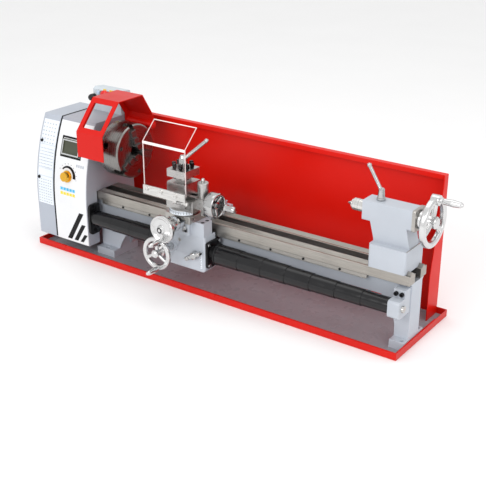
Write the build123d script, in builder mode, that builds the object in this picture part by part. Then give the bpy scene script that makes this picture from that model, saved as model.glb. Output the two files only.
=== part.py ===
"""Small metal lathe: bed on a chip tray, headstock, carriage, tailstock and guards.

Millimetres. +X runs from the headstock to the tailstock, -Y is the operator's side, +Z is up.
The origin is the centre of the four bench bolt holes, on the underside of the chip tray.
"""
import os
from math import acos, atan2, cos, hypot, pi, radians, sin, sqrt

from build123d import *

# ---- driving dimensions --------------------------------------------------------------------
BED_TOP = 158.0
CENTRE_HEIGHT = 105.0
AXIS_Z = BED_TOP + CENTRE_HEIGHT
BED_X0, BED_X1 = -508.0, 396.0
BED_HALF = 36.0
RAIL_IN = 12.0
RAIL_BOTTOM = 138.0
WEB_OUT, WEB_IN = 22.0, 15.0
WEB_BOTTOM = 100.0
WAY_Y, WAY_RISE = 24.0, 6.0
BOLT_X, BOLT_Y, BOLT_R = 388.0, 33.0, 4.5
SHEET = 1.5

TRAY_X0, TRAY_X1 = -575.0, 400.5
TRAY_Y0, TRAY_Y1 = -80.0, 148.0
TRAY_RIM = 15.0
PANEL_X1, PANEL_TOP = 378.0, 309.0

HEAD_X0, HEAD_X1 = -514.0, -410.0
HEAD_FRONT, HEAD_REAR = -73.0, 91.0
HEAD_TOP, HEAD_TOP_Y = 318.0, -27.0
HEAD_BOTTOM, HEAD_BEND = 29.0, 120.0
COVER_X0 = -574.0
PIVOT_Y, PIVOT_Z, PIVOT_R = 80.0, 304.0, 5.0

SPINDLE_BORE = 10.0
CHUCK_R, CHUCK_X0, CHUCK_X1 = 62.5, -371.0, -316.0
MOTOR_Y, MOTOR_Z = 47.0, 199.0

SCREW_Y, SCREW_Z, SCREW_R = -54.0, 98.0, 7.0
RACK_TIP = 129.0
MODULE = 1.0
PINION_TEETH, APRON_GEAR_TEETH, WHEEL_GEAR_TEETH = 22, 36, 16

CARRIAGE_X0, CARRIAGE_X1 = -178.0, -60.0
SLIDE_X = -116.0
APRON_FRONT = -78.0
LEVER_X, LEVER_Z = -84.0, 95.2
SADDLE_TOP = 171.0
CROSS_TOP = 187.0
COMPOUND_TOP = 222.0
TOP_SLIDE_TOP = 250.0
POST_X, POST_Y = -120.0, -70.0
FEED_Y, FEED_Z = -72.0, 217.0

TAIL_X0, TAIL_X1 = 306.0, 386.0
BARREL_X0, BARREL_X1, BARREL_HALF = 279.0, 384.0, 20.0
QUILL_R = 12.5
TIP_X = 236.0

GAP = 0.3
FIT = 0.05

os.makedirs("parts", exist_ok=True)


# ---- small helpers, all used inside an open BuildPart ----------------------------------------
def block(x0, x1, y0, y1, z0, z1, mode=Mode.ADD):
    """A box between two corners."""
    with Locations(((x0 + x1) / 2, (y0 + y1) / 2, (z0 + z1) / 2)):
        Box(x1 - x0, y1 - y0, z1 - z0, mode=mode)


def axis_place(axis, start, a, b):
    """Location on the given axis letter whose local +Z is that axis."""
    if axis == "x":
        return Location(Plane((start, a, b), x_dir=(0, 1, 0), z_dir=(1, 0, 0)))
    if axis == "y":
        return Location(Plane((a, start, b), x_dir=(1, 0, 0), z_dir=(0, 1, 0)))
    return Location(Plane((a, b, start), x_dir=(1, 0, 0), z_dir=(0, 0, 1)))


def rod(axis, start, end, a, b, r, mode=Mode.ADD):
    """A cylinder along an axis; a and b are the two other coordinates in x, y, z order."""
    with Locations(axis_place(axis, start, a, b)):
        Cylinder(r, end - start, align=(Align.CENTER, Align.CENTER, Align.MIN), mode=mode)


def cone(axis, start, end, a, b, r0, r1, mode=Mode.ADD):
    """A truncated cone along an axis."""
    with Locations(axis_place(axis, start, a, b)):
        Cone(r0, r1, end - start, align=(Align.CENTER, Align.CENTER, Align.MIN), mode=mode)


def ball(x, y, z, r, mode=Mode.ADD):
    """A sphere."""
    with Locations((x, y, z)):
        Sphere(r, mode=mode)


def turned(axis, a, b, profile):
    """Revolve (position, radius) points about an axis."""
    direction = {"x": (1, 0, 0), "y": (0, 1, 0), "z": (0, 0, 1)}[axis]
    centre = {"x": (0, a, b), "y": (a, 0, b), "z": (a, b, 0)}[axis]
    side = {"x": (0, 0, 1), "y": (0, 0, 1), "z": (0, 1, 0)}[axis]
    plane = Plane(centre, x_dir=direction, z_dir=Vector(*direction).cross(Vector(*side)))
    with BuildSketch(plane) as section:
        with BuildLine() as outline:
            Polyline(*profile, close=True)
        make_face(outline.edges())
    revolve(section.sketch, axis=Axis(centre, direction))


def sloped_rod(start, end, r, mode=Mode.ADD):
    """A cylinder between two points in space."""
    a, b = Vector(*start), Vector(*end)
    with Locations(Location(Plane(a, z_dir=b - a))):
        Cylinder(r, (b - a).length, align=(Align.CENTER, Align.CENTER, Align.MIN), mode=mode)


def gear_points(teeth, phase, module=MODULE):
    """Outline of a spur gear with slim straight-flanked teeth; one tooth is centred on phase."""
    pitch = 2 * pi / teeth
    rp = module * teeth / 2
    root, tip = rp - 1.2 * module, rp + 0.9 * module
    points = []
    for i in range(teeth):
        mid = phase + i * pitch
        for r, half in ((root, -0.30), (tip, -0.13), (tip, 0.13), (root, 0.30)):
            angle = mid + half * pitch
            points.append((r * cos(angle), r * sin(angle)))
    return points


def gear(axis, start, end, a, b, teeth, phase, bore):
    """A spur gear disc; angles are measured from the first of the two other axes."""
    plane = {
        "x": Plane((start, a, b), x_dir=(0, 1, 0), z_dir=(1, 0, 0)),
        "y": Plane((a, end, b), x_dir=(1, 0, 0), z_dir=(0, -1, 0)),
    }[axis]
    with BuildSketch(plane) as disc:
        with BuildLine() as outline:
            Polyline(*gear_points(teeth, phase), close=True)
        make_face(outline.edges())
        if bore > 0:
            Circle(bore, mode=Mode.SUBTRACT)
    extrude(disc.sketch, amount=end - start)


def mesh_phase(centre_a, teeth_a, phase_a, centre_b, teeth_b):
    """Phase that puts gear b in mesh with gear a."""
    line = atan2(centre_b[1] - centre_a[1], centre_b[0] - centre_a[0])
    pitch_a, pitch_b = 2 * pi / teeth_a, 2 * pi / teeth_b
    ahead = (phase_a - line + pitch_a / 2) % pitch_a - pitch_a / 2
    return line + pi - ahead * teeth_a / teeth_b + pitch_b / 2


def finish_part(builder, name):
    """Label one finished piece and write its file."""
    builder.part.label = name
    export_step(builder.part, f"parts/{name}.step")


# ---- outlines shared by neighbours -------------------------------------------------------------
HEAD_RISE = HEAD_TOP - HEAD_BEND
HEAD_SET = HEAD_TOP_Y - HEAD_FRONT
HEAD_ARC_R = (HEAD_RISE**2 + HEAD_SET**2) / (2 * HEAD_SET)


def front_y(z):
    """Y of the headstock's front skin at height z."""
    if z <= HEAD_BEND:
        return HEAD_FRONT
    return HEAD_FRONT + HEAD_ARC_R - sqrt(HEAD_ARC_R**2 - (z - HEAD_BEND) ** 2)


def front_curve(shift=0.0, z0=HEAD_BOTTOM, z1=HEAD_TOP):
    """Line work for the headstock's front skin, moved out by shift, as (y, z) points."""
    Line((HEAD_FRONT - shift, z0), (HEAD_FRONT - shift, HEAD_BEND))
    mid = (HEAD_BEND + z1) / 2
    ThreePointArc(
        (HEAD_FRONT - shift, HEAD_BEND), (front_y(mid) - shift, mid), (front_y(z1) - shift, z1)
    )


def yz_at(x):
    """The cross-section plane at x, with Y to the right and Z up."""
    return Plane((x, 0, 0), x_dir=(0, 1, 0), z_dir=(1, 0, 0))


# ---- chip tray, back panel, bed ----------------------------------------------------------------
with BuildPart() as chip_tray:
    block(TRAY_X0, TRAY_X1, TRAY_Y0, TRAY_Y1, 0, TRAY_RIM)
    block(
        TRAY_X0 + SHEET, TRAY_X1 - SHEET, TRAY_Y0 + SHEET, TRAY_Y1 - SHEET, SHEET, TRAY_RIM,
        Mode.SUBTRACT,
    )
    hem = 4.0
    block(TRAY_X0, TRAY_X1, TRAY_Y0, TRAY_Y0 + hem, TRAY_RIM - SHEET, TRAY_RIM)
    for x0, x1 in ((TRAY_X0, TRAY_X0 + hem), (TRAY_X1 - hem, TRAY_X1)):
        block(x0, x1, TRAY_Y0, TRAY_Y1 - 52, TRAY_RIM - SHEET, TRAY_RIM)
    for x in (-BOLT_X, BOLT_X):
        for y in (-BOLT_Y, BOLT_Y):
            rod("z", -1, SHEET + 1, x, y, BOLT_R, Mode.SUBTRACT)
finish_part(chip_tray, "chip_tray")

PANEL_Y0 = TRAY_Y1 - SHEET - GAP - 2.0
PANEL_Y1 = TRAY_Y1 - SHEET - GAP
PANEL_X0 = TRAY_X0 + SHEET + GAP
PANEL_SCREW_X = (-480, -340, -200, -60, 80, 220, 360)
with BuildPart() as back_panel:
    block(PANEL_X0, PANEL_X1, PANEL_Y0, PANEL_Y1, SHEET, PANEL_TOP)
    lip = 12.0
    block(PANEL_X0, PANEL_X1, PANEL_Y0 - lip, PANEL_Y0, PANEL_TOP - 2, PANEL_TOP)
    block(PANEL_X0, PANEL_X1, PANEL_Y0 - lip, PANEL_Y0 - lip + 2, PANEL_TOP - 10, PANEL_TOP)
    for x in (PANEL_X0, PANEL_X1 - 2):
        with BuildSketch(yz_at(x)):
            with BuildLine():
                Polyline(
                    (PANEL_Y0, SHEET), (PANEL_Y0 - 46, SHEET), (PANEL_Y0 - 46, 105),
                    (PANEL_Y0 - lip - 4, 286), (PANEL_Y0 - lip - 4, PANEL_TOP), (PANEL_Y0, PANEL_TOP),
                    close=True,
                )
            make_face()
        extrude(amount=2)
    for x in PANEL_SCREW_X:
        rod("y", PANEL_Y0 - 1, PANEL_Y1 + 1, x, 8.0, 2.1, Mode.SUBTRACT)
finish_part(back_panel, "back_panel")

FOOT_SPANS = ((-416.0, -361.0), (364.0, BED_X1))
with BuildPart() as bed:
    for side in (-1, 1):
        with BuildSketch(yz_at(BED_X0)):
            with BuildLine():
                Polyline(
                    (side * BED_HALF, RAIL_BOTTOM), (side * BED_HALF, BED_TOP), (side * RAIL_IN, BED_TOP),
                    (side * RAIL_IN, RAIL_BOTTOM - 8), (side * WEB_IN, RAIL_BOTTOM - 14),
                    (side * WEB_IN, WEB_BOTTOM), (side * WEB_OUT, WEB_BOTTOM),
                    (side * WEB_OUT, RAIL_BOTTOM - 5), (side * (WEB_OUT + 5), RAIL_BOTTOM), close=True,
                )
            make_face()
        extrude(amount=BED_X1 - BED_X0)
        with BuildSketch(yz_at(HEAD_X1 + 8)):
            with BuildLine():
                Polyline(
                    (side * (WAY_Y - WAY_RISE), BED_TOP), (side * WAY_Y, BED_TOP + WAY_RISE),
                    (side * (WAY_Y + WAY_RISE), BED_TOP), close=True,
                )
            make_face()
        extrude(amount=BED_X1 - HEAD_X1 - 8)
    for x in range(-480, 380, 108):
        block(x, x + 10, -WEB_IN, WEB_IN, WEB_BOTTOM, 112)
    for x0, x1 in FOOT_SPANS:
        block(x0, x1, -WEB_OUT, WEB_OUT, SHEET, WEB_BOTTOM + 4)
        block(x0, x1, -42, 42, SHEET, 19)
        block(x0 + 8, x1 - 8, -WEB_IN, WEB_IN, SHEET, 112, Mode.SUBTRACT)
        for side in (-1, 1):
            rod("z", 0, 30, BOLT_X * (1 if x0 > 0 else -1), side * BOLT_Y, BOLT_R, Mode.SUBTRACT)
    for side in (-1, 1):
        y0, y1 = sorted((side * WEB_OUT, side * WEB_IN))
        with BuildSketch(Plane((0, y1, 0), x_dir=(1, 0, 0), z_dir=(0, -1, 0))):
            with BuildLine():
                Line((-361, 19), (-361, WEB_BOTTOM + 1))
                Line((-361, WEB_BOTTOM + 1), (-275, WEB_BOTTOM + 1))
                ThreePointArc((-275, WEB_BOTTOM + 1), (-325, 72), (-361, 19))
            make_face()
        extrude(amount=y1 - y0)
        with BuildSketch(Plane((0, y1, 0), x_dir=(1, 0, 0), z_dir=(0, -1, 0))):
            with BuildLine():
                Line((364, 40), (364, WEB_BOTTOM + 1))
                Line((364, WEB_BOTTOM + 1), (330, WEB_BOTTOM + 1))
                ThreePointArc((330, WEB_BOTTOM + 1), (345, 86), (364, 40))
            make_face()
        extrude(amount=y1 - y0)
    block(BED_X1 - 8, BED_X1, -WEB_OUT, WEB_OUT, 40, RAIL_BOTTOM)
finish_part(bed, "bed")

# ---- rack under the front way ------------------------------------------------------------------
RACK_X0, RACK_X1 = -396.0, 305.0
RACK_Y0, RACK_Y1 = -BED_HALF, -BED_HALF + 9
RACK_PITCH_Z = RACK_TIP + 0.9 * MODULE
RACK_SCREW_X = (-330, -250, -130, 0, 80, 160, 245)
PINION_R = MODULE * PINION_TEETH / 2
PINION_Z = RACK_PITCH_Z - PINION_R
WHEEL_X, WHEEL_Z = -148.0, 101.0
GEAR_REACH = MODULE * (APRON_GEAR_TEETH + WHEEL_GEAR_TEETH) / 2
PINION_X = WHEEL_X + sqrt(GEAR_REACH**2 - (PINION_Z - WHEEL_Z) ** 2)
with BuildPart() as rack:
    pitch = pi * MODULE
    root = RACK_TIP + 2.1 * MODULE
    first = PINION_X - pitch * int((PINION_X - RACK_X0 - 2) / pitch)
    points = [(RACK_X0, RAIL_BOTTOM), (RACK_X0, root)]
    tooth_x = first
    while tooth_x < RACK_X1 - 2:
        for dx, z in ((-0.30, root), (-0.13, RACK_TIP), (0.13, RACK_TIP), (0.30, root)):
            points.append((tooth_x + dx * pitch, z))
        tooth_x += pitch
    points += [(RACK_X1, root), (RACK_X1, RAIL_BOTTOM)]
    with BuildSketch(Plane((0, RACK_Y1, 0), x_dir=(1, 0, 0), z_dir=(0, -1, 0))):
        with BuildLine():
            Polyline(*points, close=True)
        make_face()
    extrude(amount=RACK_Y1 - RACK_Y0)
    for x in RACK_SCREW_X:
        rod("y", RACK_Y0 - 1, RACK_Y1 + 1, x, 134.5, 1.6, Mode.SUBTRACT)
finish_part(rack, "rack")

# ---- headstock ---------------------------------------------------------------------------------
WALL = 6.0
with BuildPart() as headstock_housing:
    with BuildSketch(yz_at(HEAD_X0)):
        with BuildLine():
            front_curve()
            Polyline(
                (HEAD_TOP_Y, HEAD_TOP), (HEAD_REAR, HEAD_TOP), (HEAD_REAR, 75), (38, 75), (38, BED_TOP),
                (-38, BED_TOP), (-38, HEAD_BOTTOM), (HEAD_FRONT, HEAD_BOTTOM),
            )
        make_face()
    extrude(amount=HEAD_X1 - HEAD_X0)
    room_x0, room_x1, room_rear = HEAD_X0 + WALL, HEAD_X1 - WALL, HEAD_REAR - WALL
    block(room_x0, room_x1, -42, room_rear, BED_TOP + WALL, HEAD_TOP - 40, Mode.SUBTRACT)
    block(room_x0, room_x1, -22, room_rear, HEAD_TOP - 41, HEAD_TOP - WALL, Mode.SUBTRACT)
    block(room_x0, room_x1, HEAD_FRONT + 5, -43, HEAD_BOTTOM + WALL, 200, Mode.SUBTRACT)
    block(room_x0, room_x1, 44, room_rear, 81, BED_TOP + WALL + 1, Mode.SUBTRACT)
    rod("x", HEAD_X0, HEAD_X0 + 22, 0, AXIS_Z, 32)
    rod("x", HEAD_X1 - 22, HEAD_X1 + 4, 0, AXIS_Z, 36)
    rod("x", HEAD_X0 - 1, HEAD_X1 + 5, 0, AXIS_Z, 21, Mode.SUBTRACT)
    rod("x", HEAD_X0 - 1, HEAD_X0 + 16, 0, AXIS_Z, 27, Mode.SUBTRACT)
    rod("x", HEAD_X1 - 12, HEAD_X1 + 5, 0, AXIS_Z, 31, Mode.SUBTRACT)
    rod("x", HEAD_X0 - 1, HEAD_X0 + WALL + 1, MOTOR_Y, MOTOR_Z, 20, Mode.SUBTRACT)
    rod("x", HEAD_X0 - 1, HEAD_X1 + 1, SCREW_Y, SCREW_Z, 8, Mode.SUBTRACT)
    rod("y", HEAD_REAR - WALL - 1, HEAD_REAR + 1, -450, 110, 8, Mode.SUBTRACT)
    seam = headstock_housing.edges().filter_by(Axis.X).group_by(Axis.Z)[-1]
    fillet(seam, 4)
    rod("x", HEAD_X1 - WALL - 1, HEAD_X1 + 1, PIVOT_Y, PIVOT_Z, PIVOT_R + FIT, Mode.SUBTRACT)
finish_part(headstock_housing, "headstock_housing")

FASCIA_X0, FASCIA_X1 = HEAD_X0 + 1, HEAD_X1 - 1
DISPLAY_X0, DISPLAY_X1, DISPLAY_Z0, DISPLAY_Z1 = -495.0, -438.0, 236.0, 275.0
KNOB_X, KNOB_Z = -471.0, 190.0
FASCIA_GAP, FASCIA_SHEET = 0.05, 1.5
with BuildPart() as fascia_panel:
    with BuildSketch(yz_at(FASCIA_X0)):
        with BuildLine():
            z0, z1 = HEAD_BOTTOM + 1, HEAD_TOP - 6
            front_curve(FASCIA_GAP + FASCIA_SHEET, z0, z1)
            Line((front_y(z1) - FASCIA_GAP - FASCIA_SHEET, z1), (front_y(z1) - FASCIA_GAP, z1))
            mid = (HEAD_BEND + z1) / 2
            ThreePointArc(
                (front_y(z1) - FASCIA_GAP, z1), (front_y(mid) - FASCIA_GAP, mid),
                (HEAD_FRONT - FASCIA_GAP, HEAD_BEND),
            )
            Line((HEAD_FRONT - FASCIA_GAP, HEAD_BEND), (HEAD_FRONT - FASCIA_GAP, z0))
            Line((HEAD_FRONT - FASCIA_GAP, z0), (HEAD_FRONT - FASCIA_GAP - FASCIA_SHEET, z0))
        make_face()
    extrude(amount=FASCIA_X1 - FASCIA_X0)
finish_part(fascia_panel, "fascia_panel")


def skin_plane(x, z):
    """A plane lying on the front skin at height z, with its +Z outward."""
    slope = (front_y(z + 1) - front_y(z - 1)) / 2
    normal = Vector(0, -1, slope).normalized()
    return Plane((x, front_y(z), z), x_dir=(1, 0, 0), z_dir=normal)


DISPLAY_MID_X = (DISPLAY_X0 + DISPLAY_X1) / 2
DISPLAY_MID_Z = (DISPLAY_Z0 + DISPLAY_Z1) / 2
with BuildPart() as display_unit:
    seat = skin_plane(DISPLAY_MID_X, DISPLAY_MID_Z)
    with BuildSketch(seat.offset(2.2)):
        RectangleRounded(DISPLAY_X1 - DISPLAY_X0, DISPLAY_Z1 - DISPLAY_Z0, 3)
    extrude(amount=2.6)
    with BuildSketch(seat.offset(2.2 + 2.6)):
        with Locations((0, 1)):
            RectangleRounded(DISPLAY_X1 - DISPLAY_X0 - 12, DISPLAY_Z1 - DISPLAY_Z0 - 13, 1)
    extrude(amount=-1.4, mode=Mode.SUBTRACT)
finish_part(display_unit, "display_unit")

with BuildPart() as speed_knob:
    seat = skin_plane(KNOB_X, KNOB_Z)
    with BuildSketch(seat.offset(1.9)):
        Circle(14.0)
    extrude(amount=3)
    with BuildSketch(seat.offset(4.9)):
        Circle(11.5)
    extrude(amount=10, taper=4)
    with BuildSketch(seat.offset(4.9)):
        with PolarLocations(12.2, 18):
            Circle(1.2)
    extrude(amount=11, mode=Mode.SUBTRACT)
finish_part(speed_knob, "speed_knob")

with BuildPart() as spindle_bearings:
    for x0, x1, r_out in ((HEAD_X0, HEAD_X0 + 16, 27.0), (HEAD_X1 - 12, HEAD_X1 + 4, 31.0)):
        rod("x", x0, x1, 0, AXIS_Z, r_out - FIT)
        rod("x", x0 - 1, x1 + 1, 0, AXIS_Z, 18 + FIT, Mode.SUBTRACT)
finish_part(spindle_bearings, "spindle_bearings")

with BuildPart() as motor_body:
    rod("x", HEAD_X0 + WALL + GAP, HEAD_X1 - WALL - 8, MOTOR_Y, MOTOR_Z, 33)
    rod("x", HEAD_X0 - 0.5, HEAD_X0 + WALL + GAP, MOTOR_Y, MOTOR_Z, 18)
    rod("x", HEAD_X0 - 2, HEAD_X1, MOTOR_Y, MOTOR_Z, 7, Mode.SUBTRACT)
    for i in range(12):
        angle = radians(30 * i)
        y, z = MOTOR_Y + 33 * cos(angle), MOTOR_Z + 33 * sin(angle)
        rod("x", HEAD_X0 + 20, HEAD_X1 - 24, y, z, 2, Mode.SUBTRACT)
finish_part(motor_body, "motor_body")

SPINDLE_PULLEY_R, MOTOR_PULLEY_R = 26.0, 14.0
PULLEY_X0, PULLEY_X1 = -533.0, -518.0
with BuildPart() as motor_rotor:
    rod("x", PULLEY_X0, HEAD_X1 - WALL - 12, MOTOR_Y, MOTOR_Z, 5)
    rod("x", PULLEY_X0, PULLEY_X1, MOTOR_Y, MOTOR_Z, MOTOR_PULLEY_R)
    for x in (PULLEY_X0, PULLEY_X1 - 1.5):
        rod("x", x, x + 1.5, MOTOR_Y, MOTOR_Z, MOTOR_PULLEY_R + 3.5)
finish_part(motor_rotor, "motor_rotor")

BELT_IN = 0.4
with BuildPart() as drive_belt:
    span = hypot(MOTOR_Y, MOTOR_Z - AXIS_Z)
    lean = atan2(MOTOR_Z - AXIS_Z, MOTOR_Y)
    swing = acos((SPINDLE_PULLEY_R - MOTOR_PULLEY_R) / span)
    with BuildSketch(yz_at(PULLEY_X0 + 2.5)):
        for grow, mode in ((BELT_IN + 2.4, Mode.ADD), (BELT_IN, Mode.SUBTRACT)):
            big, small = SPINDLE_PULLEY_R + grow, MOTOR_PULLEY_R + grow
            tangents = []
            for turn in (swing, -swing):
                c, s = cos(lean + turn), sin(lean + turn)
                tangents.append((big * c, AXIS_Z + big * s))
                tangents.append((MOTOR_Y + small * c, MOTOR_Z + small * s))
            back = (-big * cos(lean), AXIS_Z - big * sin(lean))
            nose = (MOTOR_Y + small * cos(lean), MOTOR_Z + small * sin(lean))
            with BuildLine():
                Line(tangents[0], tangents[1])
                ThreePointArc(tangents[1], nose, tangents[3])
                Line(tangents[3], tangents[2])
                ThreePointArc(tangents[2], back, tangents[0])
            make_face(mode=mode)
    extrude(amount=PULLEY_X1 - PULLEY_X0 - 5)
finish_part(drive_belt, "drive_belt")

# ---- change gears ------------------------------------------------------------------------------
SPINDLE_TEETH, IDLER_A_TEETH, IDLER_B_TEETH, SCREW_TEETH = 40, 84, 60, 28
GEAR_X0, GEAR_X1 = -549.0, -541.0
SPINDLE_C = (0.0, AXIS_Z)
SCREW_C = (SCREW_Y, SCREW_Z)
REACH_B = MODULE * (IDLER_B_TEETH + SCREW_TEETH) / 2
IDLER_B_C = (SCREW_Y + 24.0, SCREW_Z + sqrt(REACH_B**2 - 24.0**2))
REACH_SA = MODULE * (SPINDLE_TEETH + IDLER_A_TEETH) / 2
REACH_AB = MODULE * (IDLER_A_TEETH + IDLER_B_TEETH) / 2
RUN_Y, RUN_Z = IDLER_B_C[0] - SPINDLE_C[0], IDLER_B_C[1] - SPINDLE_C[1]
RUN = hypot(RUN_Y, RUN_Z)
ALONG = (REACH_SA**2 - REACH_AB**2 + RUN**2) / (2 * RUN)
ASIDE = sqrt(REACH_SA**2 - ALONG**2)
IDLER_A_C = (
    SPINDLE_C[0] + ALONG * RUN_Y / RUN - ASIDE * RUN_Z / RUN,
    SPINDLE_C[1] + ALONG * RUN_Z / RUN + ASIDE * RUN_Y / RUN,
)
PHASE_S = 0.0
PHASE_A = mesh_phase(SPINDLE_C, SPINDLE_TEETH, PHASE_S, IDLER_A_C, IDLER_A_TEETH)
PHASE_B = mesh_phase(IDLER_A_C, IDLER_A_TEETH, PHASE_A, IDLER_B_C, IDLER_B_TEETH)
PHASE_L = mesh_phase(IDLER_B_C, IDLER_B_TEETH, PHASE_B, SCREW_C, SCREW_TEETH)
STUD_R = 7.0

for name, centre, teeth, phase in (
    ("idler_gear_a", IDLER_A_C, IDLER_A_TEETH, PHASE_A),
    ("idler_gear_b", IDLER_B_C, IDLER_B_TEETH, PHASE_B),
):
    with BuildPart() as idler:
        gear("x", GEAR_X0, GEAR_X1, *centre, teeth, phase, 0)
        rod("x", GEAR_X0 - 3, GEAR_X1, *centre, STUD_R + 6)
        web_r = MODULE * teeth / 2 - 7
        rod("x", GEAR_X0 - 1, GEAR_X0 + 2, *centre, web_r, Mode.SUBTRACT)
        rod("x", GEAR_X0 - 3, GEAR_X0 + 3, *centre, STUD_R + 6)
        rod("x", GEAR_X0 - 4, GEAR_X1 + 1, *centre, STUD_R + FIT, Mode.SUBTRACT)
        for k in range(5):
            angle = radians(72 * k)
            y = centre[0] + (web_r + STUD_R + 6) / 2 * cos(angle)
            z = centre[1] + (web_r + STUD_R + 6) / 2 * sin(angle)
            rod("x", GEAR_X0, GEAR_X1 + 1, y, z, (web_r - STUD_R - 6) / 2 - 1.5, Mode.SUBTRACT)
    finish_part(idler, name)

with BuildPart() as leadscrew_gear:
    gear("x", GEAR_X0, GEAR_X1, *SCREW_C, SCREW_TEETH, PHASE_L, 5 + FIT)
finish_part(leadscrew_gear, "leadscrew_gear")

with BuildPart() as banjo_plate:
    plate_x0, plate_x1 = GEAR_X1 + 1.5, GEAR_X1 + 6
    stations = (SCREW_C, IDLER_B_C, IDLER_A_C)
    for (y0, z0), (y1, z1) in zip(stations, stations[1:]):
        with BuildSketch(yz_at(plate_x0)):
            with BuildLine():
                Line((y0, z0), (y1, z1))
            trace(line_width=22)
        extrude(amount=plate_x1 - plate_x0)
    for y, z in stations:
        rod("x", plate_x0, plate_x1, y, z, 13)
    for y, z in stations[1:]:
        rod("x", GEAR_X0 - 5, plate_x0, y, z, STUD_R)
        rod("x", GEAR_X0 - 8, GEAR_X0 - 3.5, y, z, STUD_R + 4)
    rod("x", plate_x1, HEAD_X0, *SCREW_C, 13)
    rod("x", plate_x0 - 1, HEAD_X0 + 1, *SCREW_C, 8, Mode.SUBTRACT)
finish_part(banjo_plate, "banjo_plate")

with BuildPart() as leadscrew:
    rod("x", HEAD_X0 - 18, 398, SCREW_Y, SCREW_Z, SCREW_R)
    rod("x", GEAR_X0 - 4, HEAD_X0 - 18, SCREW_Y, SCREW_Z, 5)
    for x in range(-395, 360, 6):
        with Locations(axis_place("x", x, SCREW_Y, SCREW_Z)):
            Torus(SCREW_R + 0.35, 0.95, mode=Mode.SUBTRACT)
finish_part(leadscrew, "leadscrew")

# ---- spindle and chuck -------------------------------------------------------------------------
with BuildPart() as spindle:
    turned(
        "x", 0, AXIS_Z,
        (
            (-568, SPINDLE_BORE), (-568, 13), (-516, 13), (-516, 18), (-400, 18), (-400, 26),
            (-395, 26), (-395, 45), (-384, 45), (-384, 20), (-380, 20), (-380, SPINDLE_BORE),
        ),
    )
    rod("x", PULLEY_X0, PULLEY_X1, 0, AXIS_Z, SPINDLE_PULLEY_R)
    for x in (PULLEY_X0, PULLEY_X1 - 1.5):
        rod("x", x, x + 1.5, 0, AXIS_Z, SPINDLE_PULLEY_R + 3.5)
    rod("x", PULLEY_X0 - 1, PULLEY_X1 + 1, 0, AXIS_Z, SPINDLE_BORE, Mode.SUBTRACT)
finish_part(spindle, "spindle")

with BuildPart() as spindle_gear:
    gear("x", GEAR_X0, GEAR_X1, *SPINDLE_C, SPINDLE_TEETH, PHASE_S, 13 + FIT)
    rod("x", GEAR_X0 - 9, GEAR_X0, 0, AXIS_Z, 17)
    rod("x", GEAR_X0 - 10, GEAR_X0 + 1, 0, AXIS_Z, 13 + FIT, Mode.SUBTRACT)
finish_part(spindle_gear, "spindle_gear")

JAW_ANGLES = (100.0, 220.0, 340.0)
KEY_ANGLES = (40.0, 160.0, 280.0)
JAW_WIDTH = 17.0
CHUCK_BORE = 16.0


def spoke_plane(x, angle):
    """Plane on the spindle axis at x whose +Z points out along an angle; its x runs with the axis."""
    out = (0, cos(radians(angle)), sin(radians(angle)))
    return Plane((x, 0, AXIS_Z), x_dir=(1, 0, 0), z_dir=out)


with BuildPart() as chuck_backplate:
    rod("x", -384, CHUCK_X0, 0, AXIS_Z, 50)
    rod("x", -385, -379.9, 0, AXIS_Z, 20 + FIT, Mode.SUBTRACT)
    rod("x", -385, CHUCK_X0 + 1, 0, AXIS_Z, CHUCK_BORE, Mode.SUBTRACT)
finish_part(chuck_backplate, "chuck_backplate")

with BuildPart() as chuck_body:
    turned(
        "x", 0, AXIS_Z,
        (
            (CHUCK_X0, CHUCK_BORE), (CHUCK_X0, CHUCK_R - 2), (CHUCK_X0 + 2, CHUCK_R),
            (CHUCK_X1 - 3, CHUCK_R), (CHUCK_X1, CHUCK_R - 3), (CHUCK_X1, CHUCK_BORE),
        ),
    )
    for angle in JAW_ANGLES:
        with BuildSketch(spoke_plane(0, angle)):
            with Locations((CHUCK_X1 - 12, 0)):
                Rectangle(26, JAW_WIDTH - 6 + 0.6)
            with Locations((CHUCK_X1 - 16, 0)):
                Rectangle(6, JAW_WIDTH + 0.6)
        extrude(amount=CHUCK_R + 5, mode=Mode.SUBTRACT)
    for angle in KEY_ANGLES:
        radial = spoke_plane(CHUCK_X0 + 19, angle)
        with BuildSketch(radial.offset(CHUCK_R - 22)):
            Circle(8)
        extrude(amount=30, mode=Mode.SUBTRACT)
    for angle in KEY_ANGLES:
        y, z = 50 * cos(radians(angle)), AXIS_Z + 50 * sin(radians(angle))
        rod("x", CHUCK_X1 - 5, CHUCK_X1 + 1, y, z, 5, Mode.SUBTRACT)
        rod("x", CHUCK_X1 - 40, CHUCK_X1 - 4, y, z, 3, Mode.SUBTRACT)
finish_part(chuck_body, "chuck_body")

with BuildPart() as chuck_pinions:
    for angle in KEY_ANGLES:
        radial = spoke_plane(CHUCK_X0 + 19, angle)
        with BuildSketch(radial.offset(CHUCK_R - 21)):
            Circle(8 - FIT)
        extrude(amount=20)
        with BuildSketch(radial.offset(CHUCK_R - 1)):
            Rectangle(8, 8)
        extrude(amount=-10, mode=Mode.SUBTRACT)
finish_part(chuck_pinions, "chuck_pinions")

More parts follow.
